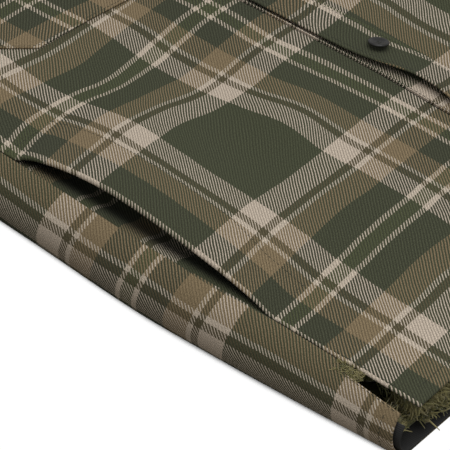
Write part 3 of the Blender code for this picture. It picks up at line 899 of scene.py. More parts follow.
@dataclass(frozen=True)
class LaidBody:
    """The form that the body's cloth lies in."""

    levels: tuple[Level, ...] = (
        Level(-0.100, 0.2520, 0.0360),
        Level(0.000, 0.2540, 0.0375),
        Level(0.060, 0.2595, 0.0425),
        Level(0.120, 0.2640, 0.0465),
        Level(0.180, 0.2660, 0.0475),
        Level(0.260, 0.2620, 0.0470),
        Level(0.380, 0.2570, 0.0460),
        Level(0.485, 0.2560, 0.0460),
        Level(0.600, 0.2560, 0.0420),
        Level(0.700, 0.2560, 0.0380),
        Level(0.800, 0.2560, 0.0360),
    )
    folds: tuple[Fold, ...] = (
        Fold(-0.112, 0.256, 0.085, 0.026, 62, -0.0045),
        Fold(-0.082, 0.212, 0.090, 0.028, 58, 0.0045),
        Fold(-0.185, 0.200, 0.110, 0.034, 84, 0.0040),
        Fold(-0.150, 0.060, 0.120, 0.040, 20, 0.0030),
        Fold(-0.060, 0.110, 0.100, 0.035, 35, -0.0035),
        Fold(-0.120, 0.445, 0.120, 0.034, -35, 0.0045),
        Fold(-0.190, 0.520, 0.110, 0.030, -48, -0.0040),
        Fold(0.105, 0.240, 0.120, 0.032, 112, 0.0045),
        Fold(0.060, 0.300, 0.110, 0.030, 120, -0.0040),
        Fold(0.190, 0.140, 0.100, 0.036, 95, 0.0040),
        Fold(0.130, 0.060, 0.130, 0.040, 165, -0.0035),
        Fold(0.140, 0.430, 0.120, 0.034, 140, 0.0045),
        Fold(0.195, 0.530, 0.110, 0.032, 130, -0.0040),
    )
    fold_fade: float = 0.045
    sag: float = 0.0055
    sag_half: float = 0.150
    wall: float = 0.0024
    seam_gap: float = 0.0004
    seam_turn: float = math.radians(14)
    hem: float = 0.002
    hem_back: float = 0.0045
    hem_side_rise: float = 0.0035
    vent_top: float = 0.056
    vent_ramp: float = 0.010
    vent_top_share: float = 0.5
    front_vent_open: float = 0.0010
    back_vent_open: float = 0.0085
    mouth_bottom: float = 0.101
    mouth_top: float = 0.290
    mouth_skew: float = 1.3
    mouth_round: float = 0.61
    underarm: float = 0.485
    neck_half: float = 0.082
    neck_point: float = 0.745
    front_neck_drop: float = 0.083
    back_neck_rise: float = 0.020
    tip_x: float = 0.235
    tip_y: float = 0.700
    yoke_front: float = 0.042
    yoke_back_seam: float = 0.600
    underarm_flare: float = 0.0275
    underarm_curve: float = 0.0085

    def at(self, y: Values) -> tuple[Array, Array]:
        """The body's half width and thickness at a level, on a smooth curve through the table.

        Args:
            y: The level.

        Returns:
            The half width and the thickness.
        """
        table = np.array(self.levels)
        y = np.asarray(y, float)
        place = np.clip(np.searchsorted(table[:, 0], y, side="right") - 1, 0, len(table) - 2)
        low, high = table[place], table[place + 1]
        before = table[np.maximum(place - 1, 0)]
        after = table[np.minimum(place + 2, len(table) - 1)]
        step = (high - low)[..., :1]
        share = (y[..., None] - low[..., :1]) / step
        low_ramp = share * (1 - share) ** 2 * step * (high - before) / (high - before)[..., :1]
        high_ramp = share ** 2 * (share - 1) * step * (after - low) / (after - low)[..., :1]
        value = blend(low, high, smooth(share)) + low_ramp + high_ramp
        return value[..., 1], value[..., 2]

    def flat_half(self, y: Values) -> Array:
        """Half the width of the front before its side rounds away."""
        half_width, thickness = self.at(y)
        return half_width - thickness / 2

    def fold_rise(self, x: Values, y: Values) -> Array:
        """How far the front's folds lift or sink its cloth.

        Args:
            x: The place across.
            y: The level.

        Returns:
            The rise.
        """
        rise = 0.0
        for fold in self.folds:
            turn = math.radians(fold.turn)
            along = (x - fold.x) * math.cos(turn) + (y - fold.y) * math.sin(turn)
            across = (y - fold.y) * math.cos(turn) - (x - fold.x) * math.sin(turn)
            rise = rise + fold.rise * bump(along, fold.length) * bump(across, fold.width)
        return rise * smooth((self.flat_half(y) - np.abs(x)) / self.fold_fade)

    def front_height(self, x: Values, y: Values) -> Array:
        """The height of the front cloth's outside, which sags towards its buttoned middle."""
        sag = self.sag * smooth(1 - np.abs(x) / self.sag_half)
        return self.at(y)[1] - sag + self.fold_rise(x, y)

    def point(self, sign: Values, arc: Values, y: Values, out: Values = 0.0) -> Array:
        """A point of the laid body's outside, or one moved out of it.

        Args:
            sign: The side's sign.
            arc: The way over the front from where the side's rounding ends, or below 0 round the
                side and on under the back.
            y: The level.
            out: How far the point is moved out.

        Returns:
            The point.
        """
        half_width, thickness = self.at(y)
        radius = thickness / 2
        flat = half_width - radius
        turn = np.clip(-arc / radius, 0.0, math.pi)
        under = -arc - math.pi * radius
        reach = flat + (radius + out) * np.sin(turn)
        height = radius + (radius + out) * np.cos(turn)
        reach = np.where(arc >= 0, flat - arc, np.where(under >= 0, flat - under, reach))
        top = self.front_height(sign * reach, y) + out
        height = np.where(arc >= 0, top, np.where(under >= 0, -out, height))
        return joined(sign * reach, y, height)

    def armhole_x(self, y: Values) -> Array:
        """Half the body's width along the armhole, which flares out to the underarm."""
        above = np.maximum(y - self.underarm, 0.0)
        return self.tip_x + self.underarm_flare * np.exp(-above / self.underarm_curve)

    def shoulder_y(self, x: Values) -> Array:
        """The level of the shoulder fold."""
        slope = (self.neck_point - self.tip_y) / (self.tip_x - self.neck_half)
        return self.neck_point - (np.minimum(np.abs(x), self.tip_x) - self.neck_half) * slope

    def neck_y(self, x: Values, drop: float) -> Array:
        """The level of the neckline, cut down in the middle."""
        return self.neck_point - drop * (1 - np.minimum(np.abs(x) / self.neck_half, 1.0) ** 2)

    def front_limit(self, reach: Values) -> Array:
        """The top of a front panel's cloth at a distance from the middle.

        Args:
            reach: The distance.

        Returns:
            The top's level.
        """
        x = np.minimum(reach, self.tip_x)
        top = np.minimum(self.shoulder_y(x) - self.yoke_front, self.neck_y(x, self.front_neck_drop))
        return top - self.seam_gap

    def seam_arc(self, y: Values) -> Array:
        """Where the side seam runs on the side's rounding."""
        return -self.seam_turn * self.at(y)[1] / 2

    def vent_share(self, y: Values) -> Array:
        """How far the vent has opened at a level: 0 at its top, soon half and 1 at the hem."""
        widened = blend(self.vent_top_share, 1.0, (self.vent_top - y) / self.vent_top)
        return widened * smooth((self.vent_top - y) / self.vent_ramp)

    def mouth_share(self, y: Values) -> Array:
        """How far a hand pocket's mouth gapes at a level."""
        share = np.clip((y - self.mouth_bottom) / (self.mouth_top - self.mouth_bottom), 0.0, 1.0)
        return np.maximum(np.sin(math.pi * share ** self.mouth_skew), 0.0) ** self.mouth_round


HEM_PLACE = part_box("front_right")[0].y - LaidBody.hem


@dataclass
class ClothPart:
    """A part of the garment that is cut from the plaid cloth."""

    form: LaidBody
    cloth: Material

    def add(self, name: str, sheet: Sheet, node: str, *rests_on: str) -> None:
        """Put a sheet of the cloth on the garment in place of a node."""
        add_cloth(name, sheet, self.cloth, [node])


@dataclass
class FrontPanels(ClothPart):
    """The two front panels, with the hand pockets' rolled mouths at their sides."""

    mouth_lift: float = 0.0118
    mouth_in: float = 0.0080
    mouth_reach: float = 0.040
    roll_extra: float = 0.0012
    roll_reach: float = 0.007
    # The cut runs straight along the side edge up to a level, and flares to the armhole above it
    side_cut: float = 0.2386
    straight_to: float = 0.380
    # The pocket bag's sewing: level and distance from the side edge
    pocket_bag: tuple[Pair, ...] = (
        (0.101, 0.031), (0.128, 0.031), (0.162, 0.038), (0.267, 0.0405), (0.298, 0.0405))
    hem_stitch: float = 0.0105
    hem_sewn: Pair = (0.012, 0.215)
    edge_stitch: float = 0.0025
    vent_sewn_from: float = 0.008
    width: float = 0.23
    # Distance of each panel's inner edge from the middle
    inner_edge: dict[Side, float] = per_side(0.0184, 0.0043)
    # Middle of a wide green block on each panel, across and along
    green_middle: dict[Side, Pair] = per_side((-0.1432, 0.2045), (0.0890, 0.2045))
    pulls: dict[Side, Pull] = per_side(
        Pull(
            across=(-98.0, -66.6, -35.1, -3.7, 27.7, 59.1, 90.6, 122.0),
            along=(-205.0, -172.0, -139.0, -106.0, -73.0, -40.0, -7.0, 26.0, 59.0, 92.0, 125.0, 158.0),
            shift_across=(
                (1.3, 3.0, 5.0, 4.0, 2.0, 0.1, -1.9, -2.9),
                (1.0, 4.4, 7.0, 5.0, 1.7, -1.0, -2.9, -3.8),
                (1.4, 2.6, 7.4, 3.1, -1.1, -3.0, -4.8, -5.8),
                (1.7, 1.3, 3.4, 0.1, -4.7, -6.2, -7.7, -8.7),
                (1.9, 0.1, 0.8, -0.5, -2.0, -3.9, -6.9, -10.3),
                (2.2, -1.6, 0.1, 0.7, 4.1, 1.0, -4.9, -7.7),
                (2.5, -2.9, 1.9, -0.4, -4.5, -0.6, -1.1, -8.2),
                (2.5, -3.1, -1.1, -1.5, -3.7, 10.9, 4.8, -10.0),
                (2.7, -3.9, -6.9, -1.4, 1.2, 3.6, 6.2, -4.2),
                (-4.0, -8.9, -2.6, 3.2, 5.1, 0.8, -0.3, -8.5),
                (-5.8, -7.6, 0.3, 1.6, 0.1, -3.7, -3.4, -7.0),
                (-7.0, -8.1, -6.0, -2.2, -1.2, 0.6, -1.0, -3.6)),
            shift_along=(
                (4.6, 2.7, 0.7, -0.6, -1.9, -3.3, -4.6, -5.3),
                (1.5, 2.0, 1.5, -0.7, -1.8, -3.3, -5.2, -6.1),
                (3.6, 3.9, 2.4, -1.7, -1.1, -3.1, -6.7, -7.7),
                (6.7, 5.1, 2.3, -1.5, -4.5, -8.7, -11.4, -10.2),
                (9.0, 4.4, 0.0, -3.6, -2.2, -6.7, -9.5, -10.9),
                (8.5, 4.2, 0.2, -0.5, 0.6, -3.6, -8.9, -9.3),
                (10.4, 6.6, 3.6, 0.7, 0.5, 0.1, -4.1, -5.1),
                (14.6, 8.0, 5.8, -2.1, 1.9, 10.3, 3.2, -2.0),
                (17.4, 9.3, 2.2, 3.8, 7.6, 7.4, 7.2, 3.5),
                (21.9, 12.3, 11.2, 20.6, 13.7, 7.1, 4.1, 2.5),
                (13.7, 7.2, 13.7, 16.3, 10.6, 2.8, -0.7, 1.9),
                (9.7, 5.8, 7.9, 10.9, 11.3, 12.0, 7.7, 4.9)),
            reach=(22.6, 23.8)),
        Pull(
            across=(-66.0, -40.0, -14.0),
            along=(-35.0, 0.0, 35.0, 70.0),
            shift_across=((-3.3, -7.6, -7.9), (-4.3, -5.5, -8.9), (-7.4, -13.8, -13.3),
                          (-8.6, -12.6, -13.1)),
            shift_along=((-14.3, -11.8, -10.5), (-9.7, -9.6, -9.3), (-3.3, -7.0, -7.7),
                         (-2.6, -5.7, -6.8)),
            reach=(20.0, 26.0)))
    # The photographed side has the finer grid
    columns: dict[Side, int] = per_side(92, 62)
    rows: dict[Side, int] = per_side(225, 160)

    def edge_arc(self, y: Values) -> Array:
        """Where a panel's side edge runs: along the seam, drawn in at the vent and the pocket.

        Args:
            y: The level.

        Returns:
            The edge's place on the body's arc.
        """
        form = self.form
        drawn_in = form.front_vent_open * form.vent_share(y) + self.mouth_in * form.mouth_share(y)
        return form.seam_arc(y) + form.seam_gap / 2 + drawn_in

    def place(self, side: Side, share: Values, row: Values) -> tuple[Array, Array, Array]:
        """A point of a panel.

        Args:
            side: The panel's side.
            share: 0 at the side edge and 1 at the inner edge.
            row: The share of the panel's height.

        Returns:
            The point, its place on the cloth and its distance from the side edge.
        """
        form = self.form
        inner = self.inner_edge[side]
        y = row * (form.tip_y - form.yoke_front - form.seam_gap)
        flat = form.flat_half(np.minimum(y, form.underarm))
        start = self.edge_arc(np.minimum(y, form.underarm))
        arc = blend(start, flat - inner, share)
        level = row * form.front_limit(flat - arc)
        point = form.point(side.value, arc, level)
        lift = self.mouth_lift * form.mouth_share(y) * bump(arc - start, self.mouth_reach)
        point[..., 2] += lift
        reach = blend(form.armhole_x(y) - form.seam_gap, inner, share)
        high = row * form.front_limit(reach)
        x = side.value * reach
        upper = joined(x, high, form.front_height(x, high))
        below = (y <= form.underarm)
        point = np.where(below[..., None], point, upper)
        flared = smooth((y - self.straight_to) / (form.underarm - self.straight_to))
        edge = blend(self.side_cut, form.armhole_x(form.underarm) - form.seam_gap, flared)
        across = np.where(below, side.value * blend(edge, inner, share), x)
        return point, joined(across, point[..., 1]), arc - start

    def sewn(self, side: Side, inside: Array, y: Array) -> Array:
        """Points of a panel at a distance from its side edge and a level.

        Args:
            side: The panel's side.
            inside: The distances.
            y: The levels.

        Returns:
            The points.
        """
        form = self.form
        start = self.edge_arc(y)
        flat = form.flat_half(y)
        share = inside / (flat - self.inner_edge[side] - start)
        return self.place(side, share, y / form.front_limit(flat - start - inside))[0]

    def seams(self) -> list[Array]:
        """The lines of sewing on both panels: hem, pocket bag and vent.

        Returns:
            The points of each line.
        """
        form = self.form
        bag = np.array(self.pocket_bag)
        levels = np.linspace(bag[0, 0], bag[-1, 0], 80)
        inside = np.interp(levels, bag[:, 0], bag[:, 1])
        step = np.linspace(0.0, 1.0, 60)
        vent = np.linspace(self.vent_sewn_from, form.vent_top, 24)
        lines = []
        for side in Side:
            hem = blend(*self.hem_sewn, step)
            lines.append(self.sewn(side, hem, np.full_like(hem, self.hem_stitch)))
            lines.append(self.sewn(side, inside, levels))
            for end in (0, -1):
                across = blend(self.edge_stitch, inside[end], step)
                lines.append(self.sewn(side, across, np.full_like(across, levels[end])))
            lines.append(self.sewn(side, np.full_like(vent, self.edge_stitch), vent))
        return lines

    def build(self) -> None:
        """Make both panels."""
        form = self.form
        for side in Side:
            rim = form.wall / 2
            shares = rimmed(0.0, 1.0, self.columns[side], rim / self.width)
            top = form.tip_y - form.yoke_front - form.seam_gap
            rows = rimmed(form.hem / top, 1.0, self.rows[side], rim / top)
            share, row = np.meshgrid(shares, rows)
            point, cut, inside = self.place(side, share, row)
            gape = form.mouth_share(point[..., 1])
            wall = form.wall + self.roll_extra * gape * bump(inside, self.roll_reach)
            shown = self.pulls[side].moved(cut - np.array(self.green_middle[side]))
            sheet = Sheet(point, shown, wall, flip=side is Side.LEFT)
            self.add("front_panel_" + side.word, sheet, "front_" + side.word, "pile_front_" + side.word)


@dataclass
class BackPanel(ClothPart):
    """The back panel, one piece from side seam to side seam, open at the armholes."""

    green_middle: Pair = (0.234, 0.0735)
    # Only the side that rounds up to the front is pulled
    pull: Pull = Pull(
        across=(34.0, 69.0),
        along=(-59.0, -19.0, 21.0, 61.0, 101.0, 141.0, 181.0, 221.0),
        shift_across=((19.9, 17.3), (10.4, 9.1), (4.2, 3.2), (0.6, 1.8), (-3.0, -3.9), (-1.2, -0.9),
                      (0.7, 0.9), (0.3, 0.0)),
        shift_along=((-15.2, -13.9), (-10.0, -8.7), (-5.0, -0.9), (-2.3, 5.2), (-2.9, 4.5), (-3.9, 5.1),
                     (-3.4, 3.6), (-1.7, 0.9)),
        reach=(26.0, 30.0), fade=(-120.0, 20.0))
    # The sewing: the hem's level and way round, and the vents' levels and way round
    hem_stitch: float = 0.0125
    hem_sewn: Pair = (0.15, 3.85)
    vent_sewn: Pair = (0.009, 0.046)
    vent_stitch: float = 0.02
    side_width: float = 0.07
    side_columns: int = 30
    flat_columns: int = 26
    rows_below: int = 140
    rows_above: int = 30

    def place(self, share: Array, y: Array) -> tuple[Array, Array]:
        """A point of the panel.

        Args:
            share: 0 at the right seam, 1 under the side's rounding, 2 in the middle, 4 at the left.
            y: The level.

        Returns:
            The point and its place on the cloth, measured from the back's middle.
        """
        form = self.form
        sign = np.where(share <= 2, -1.0, 1.0)
        way = np.minimum(share, 4 - share)
        y = y + form.hem_side_rise * smooth(1 - way) * smooth(1 - (y - form.hem_back) / form.vent_top)
        half_width, thickness = form.at(y)
        radius = thickness / 2
        flat = half_width - radius
        start = form.seam_arc(y) - form.seam_gap / 2 - form.back_vent_open * form.vent_share(y)
        arc = blend(start, -math.pi * radius, np.minimum(way, 1.0))
        side_point = form.point(sign, arc, y)
        edge = np.where(y > form.underarm, form.armhole_x(y) - form.seam_gap, flat)
        x = sign * edge * (2 - way)
        point = np.where((way <= 1)[..., None], side_point, joined(x, y, np.zeros_like(y)))
        across = np.where(way <= 1, sign * (flat + math.pi * radius + arc), x)
        return point, joined(-across, y)

    def seams(self) -> list[Array]:
        """The lines of sewing on the panel: hem and both vents.

        Returns:
            The points of each line.
        """
        way = np.linspace(*self.hem_sewn, 160)
        vent = np.linspace(*self.vent_sewn, 24)
        edges = (self.vent_stitch, 4 - self.vent_stitch)
        return [self.place(way, np.full_like(way, self.hem_stitch))[0]] + [
            self.place(np.full_like(vent, edge), vent)[0] for edge in edges]

    def build(self) -> None:
        """Make the panel."""
        form = self.form
        rim = form.wall / 2
        low = rimmed(form.hem_back, form.underarm, self.rows_below, rim)
        high = np.linspace(form.underarm, form.yoke_back_seam - form.seam_gap, self.rows_above)
        rounded = rimmed(0.0, 1.0, self.side_columns, rim / self.side_width)
        side = np.concatenate([rounded[:-3], np.linspace(1.0, 2.0, self.flat_columns)[1:]])
        shares = np.concatenate([side, 4 - side[-2::-1]])
        share, y = np.meshgrid(shares, np.concatenate([low, high[1:]]))
        point, cut = self.place(share, y)
        middle = (share[:-1, :-1] + share[1:, 1:]) / 2
        keep = (y[1:, 1:] <= form.underarm + SLACK) | (np.abs(middle - 2) < 1)
        shown = self.pull.moved(cut - np.array(self.green_middle))
        sheet = Sheet(point, shown, form.wall, keep=keep, flip=True)
        self.add("back_panel", sheet, "back")


@dataclass
class Yoke(ClothPart):
    """The yoke: across the back, over both shoulders and down to the fronts, open at the neck."""

    green_middle: Pair = (0.045, 0.030)
    # The sewing's turns, and how far it stays clear of the neck and the armhole
    back_stitch: float = 0.03
    front_stitch: float = 2.9
    neck_clear: float = 0.003
    tip_clear: float = 0.004
    side_columns: int = 35
    neck_columns: int = 34
    back_rows: int = 22
    fold_rows: int = 26
    front_rows: int = 14
    back_rim: float = 0.01
    front_rim: float = 0.05

    def place(self, x: Array, turn: Array) -> Array:
        """A point of the yoke: turn 0 at the back seam, 1 to 2 over the shoulder, 3 at the front.

        Args:
            x: The place across.
            turn: The way over the shoulder.

        Returns:
            The point.
        """
        form = self.form
        fold = form.shoulder_y(x)
        radius = form.at(fold)[1] / 2
        middle = fold - radius
        neck = form.neck_y(x, -form.back_neck_rise)
        top = np.where(np.abs(x) < form.neck_half - form.seam_gap, neck, middle)
        angle = math.pi * np.clip(turn - 1, 0.0, 1.0)
        down = np.clip(turn - 2, 0.0, 1.0)
        front_y = blend(middle, fold - form.yoke_front, down)
        front_z = blend(2 * radius, form.front_height(x, front_y), down)
        y = np.where(turn <= 1, blend(form.yoke_back_seam, top, turn),
                     np.where(turn <= 2, middle + radius * np.sin(angle), front_y))
        z = np.where(turn <= 1, 0.0, np.where(turn <= 2, radius - radius * np.cos(angle), front_z))
        return joined(x, y, z)

    def seams(self) -> list[Array]:
        """The lines of sewing on the yoke, along its back seam and both front ones.

        Returns:
            The points of each line.
        """
        tip = self.form.tip_x - self.tip_clear
        reach = np.linspace(self.form.neck_half + self.neck_clear, tip, 60)
        across = np.linspace(-tip, tip, 120)
        return [self.place(across, np.full_like(across, self.back_stitch))] + [
            self.place(side.value * reach, np.full_like(reach, self.front_stitch)) for side in Side]

    def build(self) -> None:
        """Make the yoke."""
        form = self.form
        tip = form.tip_x - form.seam_gap
        sides = rimmed(form.neck_half, tip, self.side_columns, form.wall / 2)
        neck = np.linspace(-form.neck_half, form.neck_half, self.neck_columns)
        columns = np.concatenate([-sides[::-1], neck[1:-1], sides])
        rim = len(RIM_STEPS)
        turns = np.concatenate([rimmed(0.0, 1.0, self.back_rows, self.back_rim)[:-rim],
                                np.linspace(1.0, 2.0, self.fold_rows)[:-1],
                                rimmed(2.0, 3.0, self.front_rows, self.front_rim)[rim:]])
        x, turn = np.meshgrid(columns, turns)
        point = self.place(x, turn)
        cut = joined(-x, run_along(point, 0)) - np.array(self.green_middle)
        keep = (turn[1:, 1:] <= 1.0) | (np.abs(x[:-1, :-1] + x[1:, 1:]) / 2 > form.neck_half)
        sheet = Sheet(point, cut, form.wall, keep=keep, flip=True)
        self.add("shoulder_yoke", sheet, "yoke")


@dataclass
class FrontBands(ClothPart):
    """The buttoned edge: the right front's band below, the left front's on top of it."""

    wall: float = 0.0016
    half: float = 0.0155
    under_edge: float = 0.0184
    under_reach: float = 0.0035
    puff: float = 0.0010
    puff_reach: float = 0.003
    dip: float = 0.0014
    dip_reach: float = 0.0022
    buckle_y: float = 0.166
    buckle_length: float = 0.034
    buckle_in: float = 0.0075
    buckle_lift: float = 0.0040
    # The sewing: its levels and its shares of each band's width
    sewn: Pair = (0.006, 0.655)
    over_stitches: Pair = (0.11, 0.89)
    under_stitch: float = 0.05
    rows: int = 230
    columns: int = 18
    over_middle: Pair = (-0.0855, 0.2045)
    under_middle: Pair = (-0.1692, 0.2045)
    over_pull: Pull = Pull(
        across=(78.0, 97.0),
        along=(-55.0, -25.0, 5.0, 35.0, 65.0, 95.0),
        shift_across=((-1.5, -6.5), (-2.5, -6.7), (3.7, -0.3), (6.2, -3.9), (6.9, -5.2), (6.3, 0.7)),
        shift_along=((-13.0, -13.7), (-8.2, -10.2), (-4.1, -5.1), (0.2, -1.2), (2.6, -0.7), (2.1, 0.6)),
        reach=(15.0, 22.0))
    under_pull: Pull = Pull(
        across=(154.0, 164.0),
        along=(-60.0, -25.0, 10.0, 45.0, 80.0),
        shift_across=((0.0, 0.0),) * 5,
        shift_along=((-10.2, -10.0), (-7.3, -7.1), (-2.4, -2.6), (2.6, 1.5), (4.4, 3.4)),
        reach=(10.0, 26.0))

    def under(self, share: Array, y: Array) -> Array:
        """A point of the lower band, from its seam to its hidden edge.

        Args:
            share: The share of the band's width.
            y: The level.

        Returns:
            The point.
        """
        form = self.form
        x = blend(-self.under_edge + form.seam_gap, self.under_reach, share)
        rise = self.puff * bump(x + self.under_edge - self.dip_reach / 2, self.puff_reach / 2)
        sunk = self.dip * smooth((x + self.half) / self.dip_reach + 0.5)
        return joined(x, y, form.front_height(x, y) + rise - sunk)

    def over(self, share: Values, y: Values) -> Array:
        """A point of the upper band, whose free edge buckles up between two buttons.

        Args:
            share: The share of the band's width.
            y: The level.

        Returns:
            The point.
        """
        form = self.form
        buckle = bump(y - self.buckle_y, self.buckle_length)
        x = blend(-self.half + self.buckle_in * buckle, self.half, share)
        lift = self.buckle_lift * buckle * (1 - share) ** 2
        rise = self.wall + self.puff + form.seam_gap + lift
        return joined(x, y, form.front_height(x, y) + rise)

    def seams(self) -> list[Array]:
        """The lines of sewing along both edges of the upper band and the lower one's seam.

        Returns:
            The points of each line.
        """
        y = np.linspace(*self.sewn, 330)
        return [self.over(np.full_like(y, share), y) for share in self.over_stitches] + [
            self.under(np.full_like(y, self.under_stitch), y)]

    def build(self) -> None:
        """Make both bands."""
        form = self.form
        rim = self.wall / 2
        top = float(form.neck_y(0.0, form.front_neck_drop)) - form.seam_gap
        rows = rimmed(form.hem, top, self.rows, rim)
        shares = rimmed(0.0, 1.0, self.columns, rim / (2 * self.half))
        share, y = np.meshgrid(shares, rows)
        makes = (("band_under", "placket_under", self.under, self.under_middle, self.under_pull),
                 ("band_over", "placket_over", self.over, self.over_middle, self.over_pull))
        for name, node, place, middle, pull in makes:
            point = place(share, y)
            shown = pull.moved(point[..., :2] - np.array(middle))
            self.add(name, Sheet(point, shown, self.wall), node)


@dataclass
class ChestPockets(ClothPart):
    """Patch pockets with cut-off lower corners, laid on the fronts."""

    outer: float = 0.171
    inner: float = 0.031
    bottom: float = 0.354
    top: float = 0.504
    cut_corner: float = 0.018
    wall: float = 0.0012
    clear: float = 0.0003
    # Middle of a wide green block on each pocket, across and along
    green_middle: dict[Side, Pair] = per_side((-0.2133, 0.2945), (0.0790, 0.2945))
    right_pull: Pull = Pull(
        across=(60.0, 95.0, 130.0),
        along=(65.0, 90.0, 115.0),
        shift_across=((8.3, 2.4, -0.2), (8.8, 4.8, 1.4), (7.2, 5.5, 3.3)),
        shift_along=((2.4, 6.0, 9.8), (9.3, 7.9, 8.4), (11.0, 9.1, 8.5)),
        reach=(26.0, 20.0))
    # The sewing, as shares of the pocket's width and height
    side_stitch: float = 0.014
    bottom_stitch: float = 0.013
    hem_stitch: float = 0.84
    stitch_end: float = 0.98
    columns: int = 64
    rows: int = 70

    def place(self, side: Side, share: Array, row: Array) -> Array:
        """A point of a pocket, from its outer edge and its bottom.

        Args:
            side: The pocket's side.
            share: The share of its width.
            row: The share of its height.

        Returns:
            The point.
        """
        form = self.form
        width = self.outer - self.inner
        corner = np.maximum(self.cut_corner - np.minimum(share, 1 - share) * width, 0.0)
        x = side.value * blend(self.outer, self.inner, share)
        y = blend(self.bottom + corner, self.top, row)
        return joined(x, y, form.front_height(x, y) + self.wall + self.clear)

    def seams(self) -> list[Array]:
        """The lines of sewing on the pockets: round three sides and along the hem at the top.

        Returns:
            The points of each line.
        """
        step = np.linspace(0.0, 1.0, 50)
        held = np.ones_like(step)
        left, low, end = self.side_stitch, self.bottom_stitch, self.stitch_end
        way = joined(np.concatenate([left * held, blend(left, 1 - left, step), (1 - left) * held]),
                     np.concatenate([blend(end, low, step), low * held, blend(low, end, step)]))
        top = joined(blend(1 - end, end, step), self.hem_stitch * held)
        return [self.place(side, line[:, 0], line[:, 1]) for side in Side for line in (way, top)]

    def build(self) -> None:
        """Make both pockets."""
        rim = self.wall / 2
        share, row = np.meshgrid(rimmed(0.0, 1.0, self.columns, rim / (self.outer - self.inner)),
                                 rimmed(0.0, 1.0, self.rows, rim / (self.top - self.bottom)))
        for side in Side:
            point = self.place(side, share, row)
            cut = point[..., :2] - np.array(self.green_middle[side])
            shown = self.right_pull.moved(cut) if side is Side.RIGHT else cut
            sheet = Sheet(point, shown, self.wall, flip=side is Side.LEFT)
            self.add("patch_pocket_" + side.word, sheet, "chest_pocket_" + side.word,
                     "front_" + side.word)


@dataclass
class PocketFacings(ClothPart):
    """The strip inside each hand pocket's mouth, sewn under the back's edge."""

    under_back: float = 0.008
    depth: float = 0.046
    drop: float = 0.0115
    held: float = 1 / 6
    fall: float = 0.5
    past_mouth: float = 0.006
    green_middle: Pair = (0.2345, 0.1265)
    slant: float = 0.2
    columns: int = 30
    rows: int = 90

    def build(self) -> None:
        """Make both facings."""
        form = self.form
        rim = form.wall / 2
        share, y = np.meshgrid(rimmed(0.0, 1.0, self.columns, rim / self.depth),
                               rimmed(form.mouth_bottom - self.past_mouth,
                                      form.mouth_top + self.past_mouth, self.rows, rim))
        arc = form.seam_arc(y) + blend(-self.under_back, self.depth, share)
        sunk = self.drop * smooth((share - self.held) / self.fall)
        for side in Side:
            point = form.point(side.value, arc, y, -form.wall - 2 * form.seam_gap)
            point[..., 2] -= sunk
            across = form.flat_half(y) - arc - self.green_middle[0]
            cut = joined(side.value * across, y - self.green_middle[1] - self.slant * arc)
            sheet = Sheet(point, cut, form.wall, flip=side is Side.LEFT)
            self.add("pocket_lining_" + side.word, sheet, "pocket_facing_" + side.word, "back")


